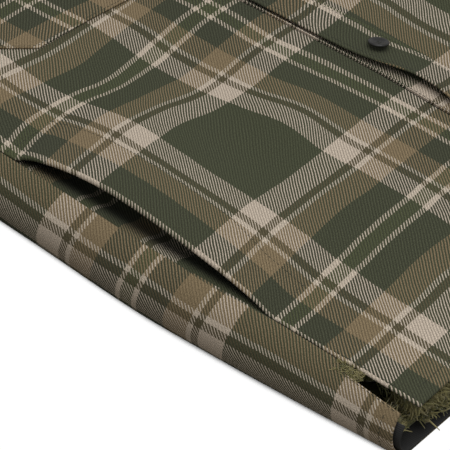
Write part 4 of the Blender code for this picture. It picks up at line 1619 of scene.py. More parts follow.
@dataclass
class Lining:
    """What lines the body: tape inside the hems and pile sheets with strands that show at the hem."""

    form: LaidBody
    pile: Material
    tape: Material
    pile_wall: float = 0.0050
    tape_wall: float = 0.0012
    tape_height: float = 0.022
    tape_past: float = 0.0008
    tape_from_side: float = 0.010
    from_middle: float = 0.024
    pile_start: float = 0.013
    pile_turn: float = math.radians(125)
    front_top: float = 0.460
    below_neck: float = 0.075
    below_underarm: float = 0.012
    from_side: float = 0.006
    past_mouth: float = 0.075
    mouth_ramp: float = 0.030
    under_facing: float = 0.095
    facing_ramp: float = 0.024
    facing_drop: float = 0.0139
    lump: float = 0.0012
    lump_size: float = 0.007
    strand_length: float = 0.014
    strand_width: float = 0.0016
    # A strand's bend and curl as shares of its length, its tip's loss, its tilt and its range of sizes
    strand_bend: float = 0.40
    strand_curl: float = 0.13
    strand_taper: float = 0.62
    strand_tilt: float = 0.6
    strand_sizes: Pair = (0.6, 1.15)
    strand_rings: int = 4
    strand_sides: int = 3
    root_depth: float = 0.001
    front_reach: float = 0.026
    back_reach: float = 0.020
    front_growth: Growth = Growth((0.0, -1.0, 0.0), 0.85, 3600000.0)
    # On the back the strands stand up near the sides and hang over the tape between them
    side_growth: Growth = Growth((0.0, 0.15, 0.0), 0.62, 2600000.0)
    back_growth: Growth = Growth((0.0, -1.2, 0.2), 0.95, 1700000.0)
    side_from: float = 0.213
    side_ramp: float = 0.012
    # Away from the vents, where less of it shows, the pile's strands stand thinner
    sparse: float = 0.22
    sparse_within: float = 0.165
    sparse_ramp: float = 0.025
    # Pile that wells up at the top of each vent: levels, way round the side and depth below the cloth
    tuft_growth: Growth = Growth((0.0, -0.5, 0.3), 0.32, 6000000.0)
    tuft_levels: Pair = (0.039, 0.054)
    tuft_round: Pair = (-0.0065, -0.0005)
    tuft_depth: float = 0.0035
    tuft_grid: tuple[int, int] = (8, 12)
    # Grids of the tapes and the pile sheets
    side_columns: int = 22
    side_rim: float = 0.02
    flat_columns: int = 24
    tape_rows: int = 8
    pile_rim: float = 0.002
    back_rows: int = 70
    shoulder_rows: int = 16
    front_columns: int = 36
    front_rim: float = 0.005
    front_rows: int = 64
    seed: int = 7

    def back_place(self, share: Array, y: Array, out: float) -> tuple[Array, Array]:
        """A point inside the back: share 0 part way up the right side, 2 in the middle.

        Args:
            share: The way round.
            y: The level.
            out: How far it is moved out.

        Returns:
            The point and its place on the cloth.
        """
        form = self.form
        sign = np.where(share <= 2, -1.0, 1.0)
        way = np.minimum(share, 4 - share)
        half_width, thickness = form.at(y)
        radius = thickness / 2
        flat = half_width - radius
        arc = -blend(math.pi - self.pile_turn, math.pi, np.minimum(way, 1.0)) * radius
        curled = form.point(sign, arc, y, out)
        below = y < form.underarm
        edge = np.where(below, flat, np.minimum(flat, form.tip_x - self.pile_wall))
        x = sign * edge * (2 - way)
        level = joined(x, y, np.full_like(y, -out))
        on_side = (way <= 1) & below
        across = np.where(on_side, sign * (flat + math.pi * radius + arc), x)
        return np.where(on_side[..., None], curled, level), joined(across, y)

    def front_place(self, side: Side, share: Array, y: Array, first: float,
                    out: float) -> tuple[Array, Array, Array]:
        """A point inside a front: share 0 near its side and 1 near its inner edge.

        Args:
            side: The front's side.
            share: The way across.
            y: The level.
            first: Where the cloth starts on the body's arc.
            out: How far it is moved out.

        Returns:
            The point, its place on the cloth and its place on the body's arc.
        """
        form = self.form
        flat = form.flat_half(y)
        arc = blend(first, flat - self.from_middle, share)
        return form.point(side.value, arc, y, out), joined(side.value * (flat - arc), y), arc

    def lumps(self, sheet: Sheet) -> None:
        """Make a pile sheet's inner face lumpy by varying its wall.

        Args:
            sheet: The pile sheet.
        """
        size = self.lump_size
        wall = [[noise.noise(Vector(point) / size) for point in row] for row in sheet.points]
        sheet.wall = self.pile_wall + self.lump * np.array(wall)

    def strand(self) -> Mesh:
        """One bent, tapered strand of pile, standing on the origin.

        Returns:
            The strand's mesh.
        """
        rings, sides = self.strand_rings, self.strand_sides
        share = np.linspace(0.0, 1.0, rings)
        bend = self.strand_bend * share ** 2 + self.strand_curl * np.sin(math.tau * share)
        radius = (self.strand_width / 2 * (1 - self.strand_taper * share ** 2))[:, None]
        angle = np.linspace(0.0, math.tau, sides, endpoint=False)
        points = joined((self.strand_length * bend)[:, None] + radius * np.cos(angle),
                        radius * np.sin(angle), (self.strand_length * share)[:, None])
        made = bmesh.new()
        verts = [[made.verts.new(point) for point in ring] for ring in points]
        for low, high in zip(verts, verts[1:]):
            for place in range(sides):
                after = (place + 1) % sides
                made.faces.new((low[place], low[after], high[after], high[place]))
        made.faces.new(verts[-1])
        return mesh_from(made, "pile_strand")

    def strand_tree(self) -> Tree:
        """The node tree that plants strands on a sheet where its pile is long.

        Returns:
            The tree.
        """
        tree = new_tree("pile_strands", {
            "Strand": "Object", "Strands per square metre": "Float", "Strand size": "Float",
            "Lean": "Vector", "Seed": "Int", "Finish": "Material"})
        given = add_node(tree, "NodeGroupInput").outputs
        share = add_node(tree, "GeometryNodeInputNamedAttribute", {"Name": "long_pile"})
        density = math_of(tree, "MULTIPLY", share.outputs[0], given["Strands per square metre"])
        spots = add_node(tree, "GeometryNodeDistributePointsOnFaces", {
            "Mesh": given["Geometry"], "Density": density, "Seed": given["Seed"]})
        shade = add_node(tree, "FunctionNodeRandomValue", {"Seed": given["Seed"]}, data_type="FLOAT")
        shaded = add_node(tree, "GeometryNodeStoreNamedAttribute", {
            "Geometry": spots.outputs["Points"], "Name": "shade", "Value": shade.outputs[1]},
            data_type="FLOAT", domain="POINT")
        most = self.strand_tilt
        tilt = add_node(tree, "FunctionNodeRandomValue", {
            0: (-most, -most, 0.0), 1: (most, most, math.tau), "Seed": given["Seed"]},
            data_type="FLOAT_VECTOR")
        aim = add_node(tree, "ShaderNodeVectorMath", {
            0: spots.outputs["Normal"], 1: given["Lean"]}, operation="ADD")
        aimed = add_node(tree, "FunctionNodeAlignRotationToVector", {
            "Vector": aim.outputs[0]}, axis="Z")
        turned = add_node(tree, "FunctionNodeRotateRotation", {
            0: aimed.outputs[0], 1: tilt.outputs[0]}, rotation_space="LOCAL")
        small, large = self.strand_sizes
        varied = add_node(tree, "FunctionNodeRandomValue", {
            2: small, 3: large, "Seed": given["Seed"]}, data_type="FLOAT")
        size = math_of(tree, "MULTIPLY", varied.outputs[1], given["Strand size"])
        form = add_node(tree, "GeometryNodeObjectInfo", {0: given["Strand"]})
        planted = add_node(tree, "GeometryNodeInstanceOnPoints", {
            "Points": shaded.outputs[0], "Instance": form.outputs["Geometry"],
            "Rotation": turned.outputs[0], "Scale": size})
        end_tree(tree, planted.outputs[0], given["Finish"])
        return tree

    def plant(self, name: str, sheet: Sheet, tree: Tree, strand: Object,
              thick: Array, growth: Growth) -> None:
        """Plant strands on the inner face of a pile sheet.

        Args:
            name: The new piece's name.
            sheet: The pile sheet.
            tree: The node tree that plants them.
            strand: One strand.
            thick: How thick the strands stand at each point of the sheet, as a share.
            growth: How they grow.
        """
        inner = sheet.points - sheet.normals() * (np.asarray(sheet.wall)[..., None] - self.root_depth)
        rows, columns = inner.shape[:2]
        number = np.arange(rows * columns).reshape(rows, columns)
        quads = [number[:-1, :-1], number[1:, :-1], number[1:, 1:], number[:-1, 1:]]
        order = quads[::-1] if sheet.flip else quads
        faces = np.stack([quad[sheet.faces_kept()] for quad in order], axis=1)
        used = np.unique(faces)
        mesh = mesh_of(name + "_ground", inner.reshape(-1, 3), faces)
        spread = mesh.attributes.new("long_pile", "FLOAT", "POINT")
        spread.data.foreach_set("value", thick.reshape(-1)[used].astype(np.float32))
        baked = bake(link_object(name + "_ground", mesh), tree, {
            "Strand": strand, "Strands per square metre": growth.per_m2, "Strand size": growth.size,
            "Lean": growth.lean, "Seed": self.seed, "Finish": self.pile})
        add_piece(name, baked, self.pile)

    def long_share(self, point: Array, reach: float) -> Array:
        """Where the pile's strands stand: thick at the hem by the vents, and none deep inside.

        Args:
            point: The pile's points.
            reach: How far the strands reach in from the hem.

        Returns:
            A share for each point.
        """
        near_vent = smooth((np.abs(point[..., 0]) - self.sparse_within) / self.sparse_ramp)
        near_hem = smooth((self.pile_start + reach - point[..., 1]) / reach)
        return near_hem * blend(self.sparse, 1.0, near_vent)

    def build(self) -> None:
        """Make the tapes, the pile sheets and their strands."""
        form = self.form
        tape_out = -form.wall - 2 * form.seam_gap
        pile_out = -form.wall - self.tape_wall - 3 * form.seam_gap
        rounded = rimmed(0.0, 1.0, self.side_columns, self.side_rim)[:-len(RIM_STEPS)]
        half = np.concatenate([rounded, np.linspace(1.0, 2.0, self.flat_columns)])
        around = np.concatenate([half[:-1], 4 - half[::-1]])
        tape_rows = rimmed(form.hem_back - self.tape_past, form.hem_back + self.tape_height,
                           self.tape_rows, self.tape_wall / 2)
        share, y = np.meshgrid(around, tape_rows)
        point, cut = self.back_place(share, y, tape_out)
        add_cloth("hem_tape_back", Sheet(point, cut, self.tape_wall, flip=True), self.tape,
                  ["hem_facing_back"])
        template = bpy.data.objects.new("pile_strand", self.strand())
        tree = self.strand_tree()
        armhole = form.underarm - self.below_underarm
        top = form.neck_point - self.below_neck
        rows = np.concatenate([rimmed(self.pile_start, armhole, self.back_rows, self.pile_rim),
                               np.linspace(armhole, top, self.shoulder_rows)[1:]])
        share, y = np.meshgrid(around, rows)
        point, cut = self.back_place(share, y, pile_out)
        middle = (share[:-1, :-1] + share[1:, 1:]) / 2
        keep = (y[1:, 1:] <= armhole + SLACK) | (np.abs(middle - 2) < 1)
        sheet = Sheet(point, cut, self.pile_wall, keep=keep, flip=True)
        self.lumps(sheet)
        add_cloth("pile_sheet_back", sheet, self.pile, ["pile_back"])
        thick = self.long_share(point, self.back_reach)
        near_side = smooth((np.abs(point[..., 0]) - self.side_from) / self.side_ramp)
        for name, share, growth in (("sides", near_side, self.side_growth),
                                    ("back", 1 - near_side, self.back_growth)):
            self.plant("pile_strands_" + name, sheet, tree, template, thick * share, growth)
        for side in Side:
            columns = rimmed(0.0, 1.0, self.front_columns, self.front_rim)
            share, y = np.meshgrid(columns, tape_rows)
            point, cut, _ = self.front_place(side, share, y, self.tape_from_side, tape_out)
            add_cloth("hem_tape_front_" + side.word,
                      Sheet(point, cut, self.tape_wall, flip=side is Side.LEFT), self.tape,
                      ["hem_facing_front_" + side.word])
            share, y = np.meshgrid(columns, rimmed(self.pile_start, self.front_top, self.front_rows,
                                                   self.pile_rim))
            point, cut, arc = self.front_place(side, share, y, self.from_side, pile_out)
            from_below = smooth((y - form.mouth_bottom + self.past_mouth) / self.mouth_ramp)
            from_above = smooth((form.mouth_top + self.past_mouth - y) / self.mouth_ramp)
            from_front = smooth((self.under_facing - arc) / self.facing_ramp)
            point[..., 2] -= self.facing_drop * from_below * from_above * from_front
            sheet = Sheet(point, cut, self.pile_wall, flip=side is Side.LEFT)
            self.lumps(sheet)
            add_cloth("pile_sheet_front_" + side.word, sheet, self.pile,
                      ["pile_front_" + side.word])
            self.plant("pile_strands_front_" + side.word, sheet, tree, template,
                       self.long_share(point, self.front_reach), self.front_growth)
            wide, high = self.tuft_grid
            arc, y = np.meshgrid(np.linspace(*self.tuft_round, wide),
                                 np.linspace(*self.tuft_levels, high))
            point = form.point(side.value, form.seam_arc(y) + arc, y, -self.tuft_depth)
            wall, thick = np.full_like(y, self.root_depth), np.ones_like(y)
            patch = Sheet(point, point[..., :2], wall, flip=side is Side.RIGHT)
            self.plant("pile_tuft_" + side.word, patch, tree, template, thick, self.tuft_growth)
        bpy.data.objects.remove(template)


@dataclass
class Sleeves(ClothPart):
    """Sleeves and cuffs: flattened tubes that lie beside the body."""

    slope: float = math.radians(55)
    top_length: float = 0.640
    end_width: float = 0.118
    cuff_length: float = 0.068
    cuff_width: float = 0.112
    cuff_thickness: float = 0.031
    belly: float = 0.010
    lead: float = 0.0015
    lead_row: float = 0.004
    armhole_fade: float = 0.22
    folds_from: float = 0.08
    # Folds over a sleeve: along, across, half length, half width, lean and rise
    folds: tuple[tuple[float, ...], ...] = (
        (0.14, 0.30, 0.10, 0.50, 0.30, 0.0050),
        (0.30, 0.25, 0.07, 0.45, -0.25, -0.0050),
        (0.44, 0.60, 0.08, 0.55, 0.35, 0.0055),
        (0.60, 0.35, 0.07, 0.50, -0.30, -0.0045),
        (0.76, 0.60, 0.07, 0.50, 0.25, 0.0045),
        (0.90, 0.40, 0.05, 0.60, 0.0, -0.0030),
    )
    green_middle: Pair = (0.0, 0.30)
    cuff_middle: Pair = (0.02, 0.05)
    # The station of the outer fold, where the cut's rows start
    outer_fold: float = 1.5
    # The sewing: its stations, its row by the armhole and its shares of a cuff's length
    sewn: Pair = (0.0, 1.3)
    armhole_stitch: float = 0.014
    cuff_stitches: Pair = (0.07, 0.93)
    lead_rows: tuple[float, ...] = (0.0, 0.0004, 0.001, 0.002)
    cuff_rows: int = 20
    rows: int = 100
    stations: int = 96

    def tube(self, inner: Array, outer: Array, inner_thickness: Values, outer_thickness: Values,
             station: Array) -> tuple[Array, Array]:
        """A flattened tube on z = 0 between two edges given in plan.

        Args:
            inner: The edge near the body.
            outer: The edge away from it.
            inner_thickness: The tube's height at the inner edge.
            outer_thickness: Its height at the outer edge.
            station: 0 to 1 over the top, to 2 round the outer edge, to 3 underneath, to 4 back up.

        Returns:
            The share of the way across and the height.
        """
        length = np.linalg.norm(outer - inner, axis=-1)
        low, high = inner_thickness / 2, outer_thickness / 2
        share = np.where(station <= 1, station, 3 - station)
        flat = blend(low, length - high, share)
        top = np.where(station <= 1, blend(inner_thickness, outer_thickness, share), 0.0)
        angle = math.pi * (station - 1)
        back = math.pi * (station - 3)
        on_flat = (station <= 1) | ((station >= 2) & (station <= 3))
        along = np.where(on_flat, flat, np.where(
            station < 2, length - high + high * np.sin(angle), low - low * np.sin(back)))
        height = np.where(on_flat, top, np.where(
            station < 2, high + high * np.cos(angle), low - low * np.cos(back)))
        return along / length, height

    def edges(self, along: Array) -> tuple[Array, Array]:
        """The sleeve's edges in plan: near the body and away from it.

        Args:
            along: The share of the sleeve's length.

        Returns:
            The inner and the outer edge.
        """
        form = self.form
        run = np.array([math.cos(self.slope), -math.sin(self.slope)])
        across = np.array([-math.sin(self.slope), -math.cos(self.slope)])
        outer_start = np.array([form.tip_x + form.seam_gap, form.tip_y])
        outer_end = outer_start + run * self.top_length
        inner_end = outer_end + across * self.end_width
        inner_start = np.array([float(form.armhole_x(form.underarm)) + form.seam_gap,
                                form.underarm + 2 * form.seam_gap])
        share = along[..., None]
        belly = across * self.belly * np.sin(math.pi * share)
        return blend(inner_start, inner_end, share) + belly, blend(outer_start, outer_end, share)

    def sleeve_place(self, station: Array, row: Array) -> Array:
        """A point of the left sleeve: row 0 at the armhole and 1 at the cuff.

        Args:
            station: The way round.
            row: The row.

        Returns:
            The point.
        """
        form = self.form
        along = np.maximum(row - self.lead_row, 0.0) / (1 - self.lead_row)
        lead = self.lead * np.minimum(row / self.lead_row, 1.0)
        inner, outer = self.edges(along)
        inner_thickness = blend(float(form.at(form.underarm)[1]), self.cuff_thickness, along)
        outer_thickness = blend(float(form.at(form.tip_y)[1]), self.cuff_thickness, along)
        across, height = self.tube(inner, outer, inner_thickness, outer_thickness, station)
        plan = blend(inner, outer, across[..., None])
        inner_start, outer_start = self.edges(np.zeros_like(along))
        start = blend(inner_start, outer_start, across[..., None])
        armhole = form.armhole_x(start[..., 1]) + form.seam_gap
        straight = start[..., 0]
        x = plan[..., 0] + (armhole - straight) * (1 - smooth(along / self.armhole_fade)) + lead
        rise = 0.0
        for fold_along, fold_across, length, width, lean, fold in self.folds:
            shift = along - fold_along - lean * (across - fold_across)
            rise = rise + fold * bump(shift, length) * bump(across - fold_across, width)
        lifted = smooth((height / inner_thickness - 0.5) * 2) * smooth(along / self.folds_from)
        return joined(x, plan[..., 1], height + rise * lifted)

    def cuff_place(self, station: Array, along: Array) -> Array:
        """A point of the left cuff, which carries on from the sleeve's end.

        Args:
            station: The way round.
            along: The share of the cuff's length.

        Returns:
            The point.
        """
        form = self.form
        inner, outer = self.edges(np.ones_like(along))
        run = np.array([math.cos(self.slope), -math.sin(self.slope)])
        middle = (inner + outer) / 2 + run * (form.seam_gap + self.cuff_length * along)[..., None]
        middle[..., 0] += self.lead
        way = outer - inner
        half = way / np.linalg.norm(way, axis=-1, keepdims=True) * self.cuff_width / 2
        across, height = self.tube(middle - half, middle + half, self.cuff_thickness,
                                   self.cuff_thickness, station)
        plan = middle + half * (2 * across - 1)[..., None]
        return joined(plan[..., 0], plan[..., 1], height)

    def seams(self) -> list[Array]:
        """The lines of sewing on the sleeves: by the armhole and round both ends of each cuff.

        Returns:
            The points of each line.
        """
        over = np.linspace(*self.sewn, 70)
        lines = [self.sleeve_place(over, np.full_like(over, self.armhole_stitch))]
        lines += [self.cuff_place(over, np.full_like(over, along)) for along in self.cuff_stitches]
        return [line * np.array([side.value, 1.0, 1.0]) for side in Side for line in lines]

    def build(self) -> None:
        """Make both sleeves and both cuffs."""
        form = self.form
        rim = form.wall / 2
        stations = np.linspace(-0.5, 3.5, self.stations)
        rest = rimmed(self.lead_row, 1.0, self.rows, rim / self.top_length)[len(RIM_STEPS):]
        sleeve_rows = np.concatenate([self.lead_rows, [self.lead_row], rest])
        cuff_rows = rimmed(0.0, 1.0, self.cuff_rows, rim / self.cuff_length)
        makes = (("sleeve_tube_", "sleeve_", sleeve_rows, self.sleeve_place, self.green_middle),
                 ("cuff_band_", "cuff_", cuff_rows, self.cuff_place, self.cuff_middle))
        for piece, node, rows, place, middle in makes:
            station, row = np.meshgrid(stations, rows)
            point = place(station % 4, row)
            around = run_along(point, 1)
            fold = np.argmin(np.abs(stations - self.outer_fold))
            cut = joined(around - around[:, fold:fold + 1], -run_along(point, 0)) - np.array(middle)
            for side in Side:
                mirrored = point * np.array([side.value, 1.0, 1.0])
                faced = cut * np.array([side.value, 1.0])
                sheet = Sheet(mirrored, faced, form.wall, ring=True, flip=side is Side.LEFT)
                self.add(piece + side.word, sheet, node + side.word)


@dataclass
class Collar(ClothPart):
    """The collar: a stand round the neck and a leaf folded down over it."""

    stand_inset: float = 0.001
    stand_back: float = 0.030
    stand_front: float = 0.022
    lean_back: float = 0.005
    lean_front: float = 0.017
    lean_back_to: float = 0.30
    lean_front_from: float = 0.68
    stand_end: float = 0.985
    leaf_back: float = 0.050
    leaf_point: float = 0.078
    leaf_end: float = 0.90
    widens_from: float = 0.45
    widens_to: float = 0.95
    arch: float = 0.003
    arch_end: float = 0.625
    droop_back: float = 0.028
    droop_front: float = 0.024
    droop_power: float = 1.5
    clear: float = 0.0018
    corner_lift: float = 0.0075
    corner_turn: float = 0.52
    corner_reach: float = 0.14
    green_middle: Pair = (0.0, 0.012)
    # The sewing's share of the leaf's width and how far it stays clear of the leaf's ends
    leaf_stitch: float = 0.92
    stitch_clear: float = 0.02
    half_round: float = 0.2
    stand_rows: int = 14
    leaf_rows: int = 36
    columns: int = 110

    def neck(self, turn: Array) -> tuple[Array, Array]:
        """The neckline at a turn (0 at the back, +-1 at the front) and its outward direction.

        Args:
            turn: The turn.

        Returns:
            The point and the direction.
        """
        form = self.form
        angle = math.pi * turn
        drop = np.where(np.abs(turn) < 0.5, -form.back_neck_rise, form.front_neck_drop)
        y = form.neck_point - drop * np.cos(angle) ** 2
        front = float(form.front_height(0.0, form.neck_point - form.front_neck_drop))
        low = form.wall + form.seam_gap
        z = blend(low, front + form.wall + 2 * form.seam_gap, (1 - np.cos(angle)) / 2)
        return (joined(form.neck_half * np.sin(angle), y, z),
                joined(np.sin(angle), np.cos(angle), np.zeros_like(angle)))

    def garment_top(self, x: Array, y: Array) -> Array:
        """The highest cloth of fronts and yoke below a point, or the floor where there is none.

        Args:
            x: The place across.
            y: The level.

        Returns:
            The height.
        """
        form = self.form
        fold = form.shoulder_y(x)
        radius = form.at(fold)[1] / 2
        middle = fold - radius
        over = radius + np.sqrt(np.maximum(radius ** 2 - (y - middle) ** 2, 0.0))
        top = np.where(y <= middle, form.front_height(x, y), over)
        in_neck = (np.abs(x) < form.neck_half) & (y > form.neck_y(x, form.front_neck_drop))
        return np.where((y >= fold) | in_neck, 0.0, top)

    def fold_line(self, turn: Array) -> tuple[Array, Array, Array, Array, Array]:
        """The neckline, its outward direction, the share to the front, the lean and the rise.

        Args:
            turn: The turn round the neck.

        Returns:
            The five, in that order.
        """
        place, out = self.neck(turn)
        away = np.abs(turn)
        to_front = smooth((away - self.widens_from) / (self.widens_to - self.widens_from))
        leaning = (away - self.lean_front_from) / (self.stand_end - self.lean_front_from)
        lean = self.lean_back * smooth(1 - away / self.lean_back_to) + self.lean_front * smooth(leaning)
        return place, out, to_front, lean, blend(self.stand_back, self.stand_front, to_front)

    def stand(self, turn: Array, share: Array) -> Array:
        """A point of the stand, from the neckline to the fold.

        Args:
            turn: The turn round the neck.
            share: The share of its height.

        Returns:
            The point.
        """
        place, out, _, lean, rise = self.fold_line(turn)
        point = place - out * (self.stand_inset + lean * share)[..., None]
        point[..., 2] += rise * share
        return point

    def leaf(self, turn: Array, share: Array) -> Array:
        """A point of the leaf, from the fold to its edge.

        Args:
            turn: The turn round the neck.
            share: The share of its width.

        Returns:
            The point.
        """
        form = self.form
        place, out, to_front, lean, rise = self.fold_line(turn)
        width = blend(self.leaf_back, self.leaf_point, to_front)
        reach = width * share - self.stand_inset - lean - form.wall
        spot = place + out * reach[..., None]
        arch = self.arch * np.sin(math.pi * np.minimum(share / self.arch_end, 1.0))
        droop = blend(self.droop_back, self.droop_front, to_front) * share ** self.droop_power
        lift = self.clear + self.corner_lift * bump(np.abs(turn) - self.corner_turn, self.corner_reach)
        height = place[..., 2] + rise + form.wall + lift + arch - droop
        rest = self.garment_top(spot[..., 0], spot[..., 1]) + form.wall + 2 * self.clear
        spot[..., 2] = np.maximum(height, rest)
        return spot

    def seams(self) -> list[Array]:
        """The line of sewing along the leaf's edge.

        Returns:
            The points of each line.
        """
        end = self.leaf_end - self.stitch_clear
        turn = np.linspace(-end, end, 160)
        return [self.leaf(turn, np.full_like(turn, self.leaf_stitch))]

    def build(self) -> None:
        """Make the stand and the leaf."""
        form = self.form
        rim = form.wall / 2
        makes = (("collar_stand", self.stand, self.stand_end, self.stand_rows, self.stand_back, True),
                 ("collar_leaf", self.leaf, self.leaf_end, self.leaf_rows, self.leaf_back, False))
        for node, place, end, rows, width, flip in makes:
            turn, share = np.meshgrid(rimmed(-end, end, self.columns, rim / self.half_round),
                                      rimmed(0.0, 1.0, rows, rim / width))
            point = place(turn, share)
            around = run_along(point, 1)
            middle = around[:, around.shape[1] // 2][:, None]
            across = (middle - around) if flip else (around - middle)
            cut = joined(across, run_along(point, 0)) - np.array(self.green_middle)
            self.add(node + "_cloth", Sheet(point, cut, form.wall, flip=flip), node)


@dataclass
class Buttons:
    """Turned buttons with a raised rim, a dished middle and four holes sewn through."""

    form: LaidBody
    resin: Material
    radius: float = 0.0069
    height: float = 0.0024
    hole_radius: float = 0.0006
    hole_spread: float = 0.0013
    hole_segments: int = 12
    thread_height: float = 0.54
    sharp: float = math.radians(50)
    segments: int = 48
    first: float = 0.113
    step: float = 0.0955
    count: int = 6
    cuff_station: float = 0.62
    cuff_along: float = 0.5
    lean: float = math.radians(12)
    lean_axis: Triple = (0.587, -0.809, 0.0)
    # Turned outline from the middle of the top round to the underside: radius and height shares
    outline: tuple[Pair, ...] = (
        (0.0, 0.56), (0.20, 0.565), (0.36, 0.60), (0.50, 0.72), (0.62, 0.90), (0.74, 0.985),
        (0.84, 1.0), (0.93, 0.94), (0.985, 0.80), (1.0, 0.62), (0.985, 0.42), (0.93, 0.20),
        (0.82, 0.05), (0.70, 0.0), (0.0, 0.0),
    )

    def template(self) -> Mesh:
        """One button, standing on the origin, with its holes cut through.

        Returns:
            The button's mesh.
        """
        made = bmesh.new()
        verts = [made.verts.new((self.radius * r, 0.0, self.height * z)) for r, z in self.outline]
        edges = [made.edges.new(pair) for pair in zip(verts, verts[1:])]
        bmesh.ops.spin(made, geom=verts + edges, cent=(0, 0, 0), axis=(0, 0, 1), angle=math.tau,
                       steps=self.segments, use_merge=True)
        bmesh.ops.remove_doubles(made, verts=made.verts, dist=1e-7)
        bmesh.ops.recalc_face_normals(made, faces=made.faces)
        blank = link_object("button_blank", mesh_from(made, "button_blank"))
        drill = bmesh.new()
        for turn in range(4):
            angle = math.tau * (turn + 0.5) / 4
            spot = Vector((math.cos(angle), math.sin(angle), 0)) * self.hole_spread
            spot.z = self.height / 2
            bmesh.ops.create_cone(drill, cap_ends=True, segments=self.hole_segments,
                                  radius1=self.hole_radius, radius2=self.hole_radius,
                                  depth=3 * self.height, matrix=Matrix.Translation(spot))
        cutter = link_object("button_drill", mesh_from(drill, "button_drill"))
        holes = blank.modifiers.new("holes", "BOOLEAN")
        holes.object = cutter
        holes.operation = "DIFFERENCE"
        depsgraph = bpy.context.evaluated_depsgraph_get()
        done = bpy.data.meshes.new_from_object(blank.evaluated_get(depsgraph))
        for piece in (blank, cutter):
            bpy.data.objects.remove(piece)
        done.shade_smooth()
        done.set_sharp_from_angle(angle=self.sharp)
        return done

    def places(self, bands: FrontBands, sleeves: Sleeves) -> dict[str, Matrix]:
        """Where every button sits.

        Args:
            bands: The front bands, whose upper one carries the front buttons.
            sleeves: The sleeves, whose cuffs carry one button each.

        Returns:
            Each button's place by its node's name.
        """
        form = self.form
        lean = Matrix.Rotation(-self.lean, 4, Vector(self.lean_axis))
        spots = {}
        for number in range(self.count):
            y = self.first + self.step * number
            around = [float(bands.over(0.5, y + way * self.radius)[2]) for way in (-1, 0, 1)]
            raised = max(around) + 2 * form.seam_gap + self.radius * math.sin(self.lean)
            spots["front_button_%d" % (number + 1)] = Matrix.Translation((0.0, y, raised)) @ lean
        station, along = np.array([self.cuff_station]), np.array([self.cuff_along])
        cuff = sleeves.cuff_place(station, along)[0]
        for side in Side:
            spots["cuff_button_" + side.word] = Matrix.Translation(
                (side.value * cuff[0], cuff[1], cuff[2] + form.seam_gap))
        return spots

    def seams(self, places: dict[str, Matrix]) -> list[Array]:
        """The thread across every button's holes.

        Args:
            places: Each button's place by its node's name.

        Returns:
            The ends of each thread.
        """
        reach, high = self.hole_spread / math.sqrt(2), self.thread_height * self.height
        ends = [[Vector((turn * reach * way, reach * way, high)) for way in (-1, 1)]
                for turn in (-1, 1)]
        return [np.array([place @ end for end in pair]) for place in places.values() for pair in ends]

    def build(self, places: dict[str, Matrix]) -> None:
        """Make every button at its place.

        Args:
            places: Each button's place by its node's name.
        """
        template = self.template()
        for node, place in places.items():
            mesh = template.copy()
            mesh.transform(Matrix.Translation((0.0, HEM_PLACE, 0.0)) @ place)
            add_piece("turned_" + node, mesh, self.resin, [node])


@dataclass
class Stitching:
    """Lines of sewing thread sunk into the cloth along seams, hems and edges."""

    thread: Material
    pitch: float = 0.0032
    length: float = 0.0025
    radius: float = 0.00024
    lines: list[Array] = field(default_factory=list)

    def tree(self) -> Tree:
        """The node tree that lays stitches along lines.

        Returns:
            The tree.
        """
        tree = new_tree("sewn_lines", {
            "Pitch": "Float", "Stitch length": "Float", "Thread radius": "Float", "Finish": "Material"})
        given = add_node(tree, "NodeGroupInput").outputs
        curve = add_node(tree, "GeometryNodeMeshToCurve", {0: given["Geometry"]})
        spaced = add_node(tree, "GeometryNodeResampleCurve", {
            "Curve": curve.outputs[0], "Length": given["Pitch"]}, mode="LENGTH")
        tangent = add_node(tree, "GeometryNodeInputTangent")
        turned = add_node(tree, "FunctionNodeAlignRotationToVector", {
            "Vector": tangent.outputs[0]}, axis="X")
        half = math_of(tree, "MULTIPLY", given["Stitch length"], 0.5)
        size = add_node(tree, "ShaderNodeCombineXYZ", {
            0: half, 1: given["Thread radius"], 2: given["Thread radius"]})
        bead = add_node(tree, "GeometryNodeMeshUVSphere", {"Segments": 5, "Rings": 4, "Radius": 1.0})
        sewn = add_node(tree, "GeometryNodeInstanceOnPoints", {
            "Points": spaced.outputs[0], "Instance": bead.outputs[0], "Rotation": turned.outputs[0],
            "Scale": size.outputs[0]})
        end_tree(tree, sewn.outputs[0], given["Finish"])
        return tree

    def build(self) -> None:
        """Sew every line."""
        mesh = bpy.data.meshes.new("sewing_lines")
        points = np.concatenate(self.lines) + np.array([0.0, HEM_PLACE, 0.0])
        edges = []
        start = 0
        for line in self.lines:
            edges += [(start + step, start + step + 1) for step in range(len(line) - 1)]
            start += len(line)
        mesh.from_pydata(points.tolist(), edges, [])
        baked = bake(link_object("sewing_lines", mesh), self.tree(), {
            "Pitch": self.pitch, "Stitch length": self.length, "Thread radius": self.radius,
            "Finish": self.thread})
        add_piece("sewn_lines", baked, self.thread)


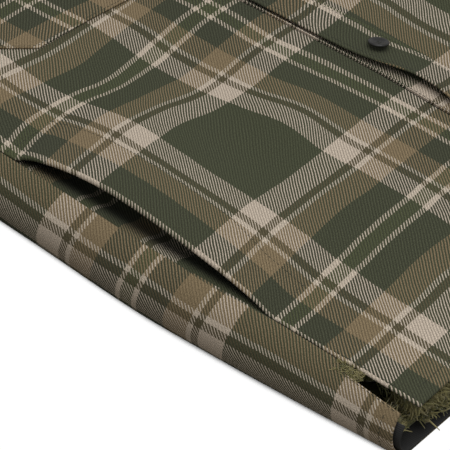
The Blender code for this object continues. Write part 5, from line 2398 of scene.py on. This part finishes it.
@dataclass(frozen=True)
class Camera:
    """The photographed view: a long lens, looking down on the right front from beside the hem."""

    target: Triple = (-0.2034, 0.1653, 0.046)
    elevation: float = 39.15
    azimuth: float = 35.96
    roll: float = 5.37
    distance: float = 1.4127
    lens: float = 200.5
    sensor: float = 36.0

    def build(self) -> None:
        """Make the scene's camera."""
        rise, turn, roll = (math.radians(angle) for angle in (self.elevation, self.azimuth, self.roll))
        low = math.cos(rise)
        back = Vector((-low * math.cos(turn), -low * math.sin(turn), math.sin(rise)))
        right = Vector((0, 0, 1)).cross(back).normalized()
        up = back.cross(right)
        level_x = right * math.cos(roll) + up * math.sin(roll)
        level_y = up * math.cos(roll) - right * math.sin(roll)
        target = Vector(self.target) + Vector((0.0, HEM_PLACE, 0.0))
        data = bpy.data.cameras.new("photo_view")
        data.lens = self.lens
        data.sensor_width = self.sensor
        camera = link_object("photo_view", data)
        turned = Matrix((level_x, level_y, back)).transposed().to_4x4()
        camera.matrix_world = Matrix.Translation(target + back * self.distance) @ turned
        bpy.context.scene.camera = camera


@dataclass(frozen=True)
class Studio:
    """A pale floor under a large soft light, with a little light from all round."""

    floor: PaleFloor = PaleFloor()
    floor_size: float = 9.0
    # Below the cloth, so that the two faces don't coincide
    floor_place: float = -0.0006
    light_size: float = 2.0
    light_place: Triple = (-0.30, -0.60, 2.3)
    light_aim: Triple = (-0.1, -0.2, 0.0)
    light_power: float = 28.0
    sky: float = 0.42

    def build(self) -> None:
        """Make the floor, the light and the sky."""
        scene = bpy.context.scene
        half = self.floor_size / 2
        corners = [(-half, -half), (half, -half), (half, half), (-half, half)]
        mesh = bpy.data.meshes.new("floor")
        mesh.from_pydata([(x, y, self.floor_place) for x, y in corners], [], [(0, 1, 2, 3)])
        mesh.materials.append(self.floor.material())
        link_object("floor", mesh)
        data = bpy.data.lights.new("softbox", "AREA")
        data.size = self.light_size
        data.energy = self.light_power
        light = link_object("softbox", data)
        light.location = self.light_place
        way = Vector(self.light_aim) - light.location
        light.rotation_euler = way.to_track_quat("-Z", "Y").to_euler()
        world = bpy.data.worlds.new("studio")
        world.use_nodes = True
        background = world.node_tree.nodes["Background"]
        background.inputs[0].default_value = (1.0, 1.0, 1.0, 1.0)
        background.inputs[1].default_value = self.sky
        scene.world = world
        scene.view_settings.view_transform = "Standard"


def main() -> None:
    """Build the garment piece by piece, then the studio."""
    logging.basicConfig(level=logging.INFO, format="%(message)s")
    form = LaidBody()
    twill = PlaidTwill().material()
    Camera().build()
    fronts = FrontPanels(form, twill)
    back = BackPanel(form, twill)
    yoke = Yoke(form, twill)
    bands = FrontBands(form, twill)
    pockets = ChestPockets(form, twill)
    sleeves = Sleeves(form, twill)
    collar = Collar(form, twill)
    sewn = (fronts, back, yoke, bands, pockets, sleeves, collar)
    for part in sewn:
        part.build()
    PocketFacings(form, twill).build()
    Lining(form, PileYarn().material(), RibTape().material()).build()
    buttons = Buttons(form, CastResin().material())
    places = buttons.places(bands, sleeves)
    buttons.build(places)
    lines = [line for part in sewn for line in part.seams()] + buttons.seams(places)
    Stitching(SewingThread().material(), lines=lines).build()
    Studio().build()


if __name__ == "__main__":
    main()
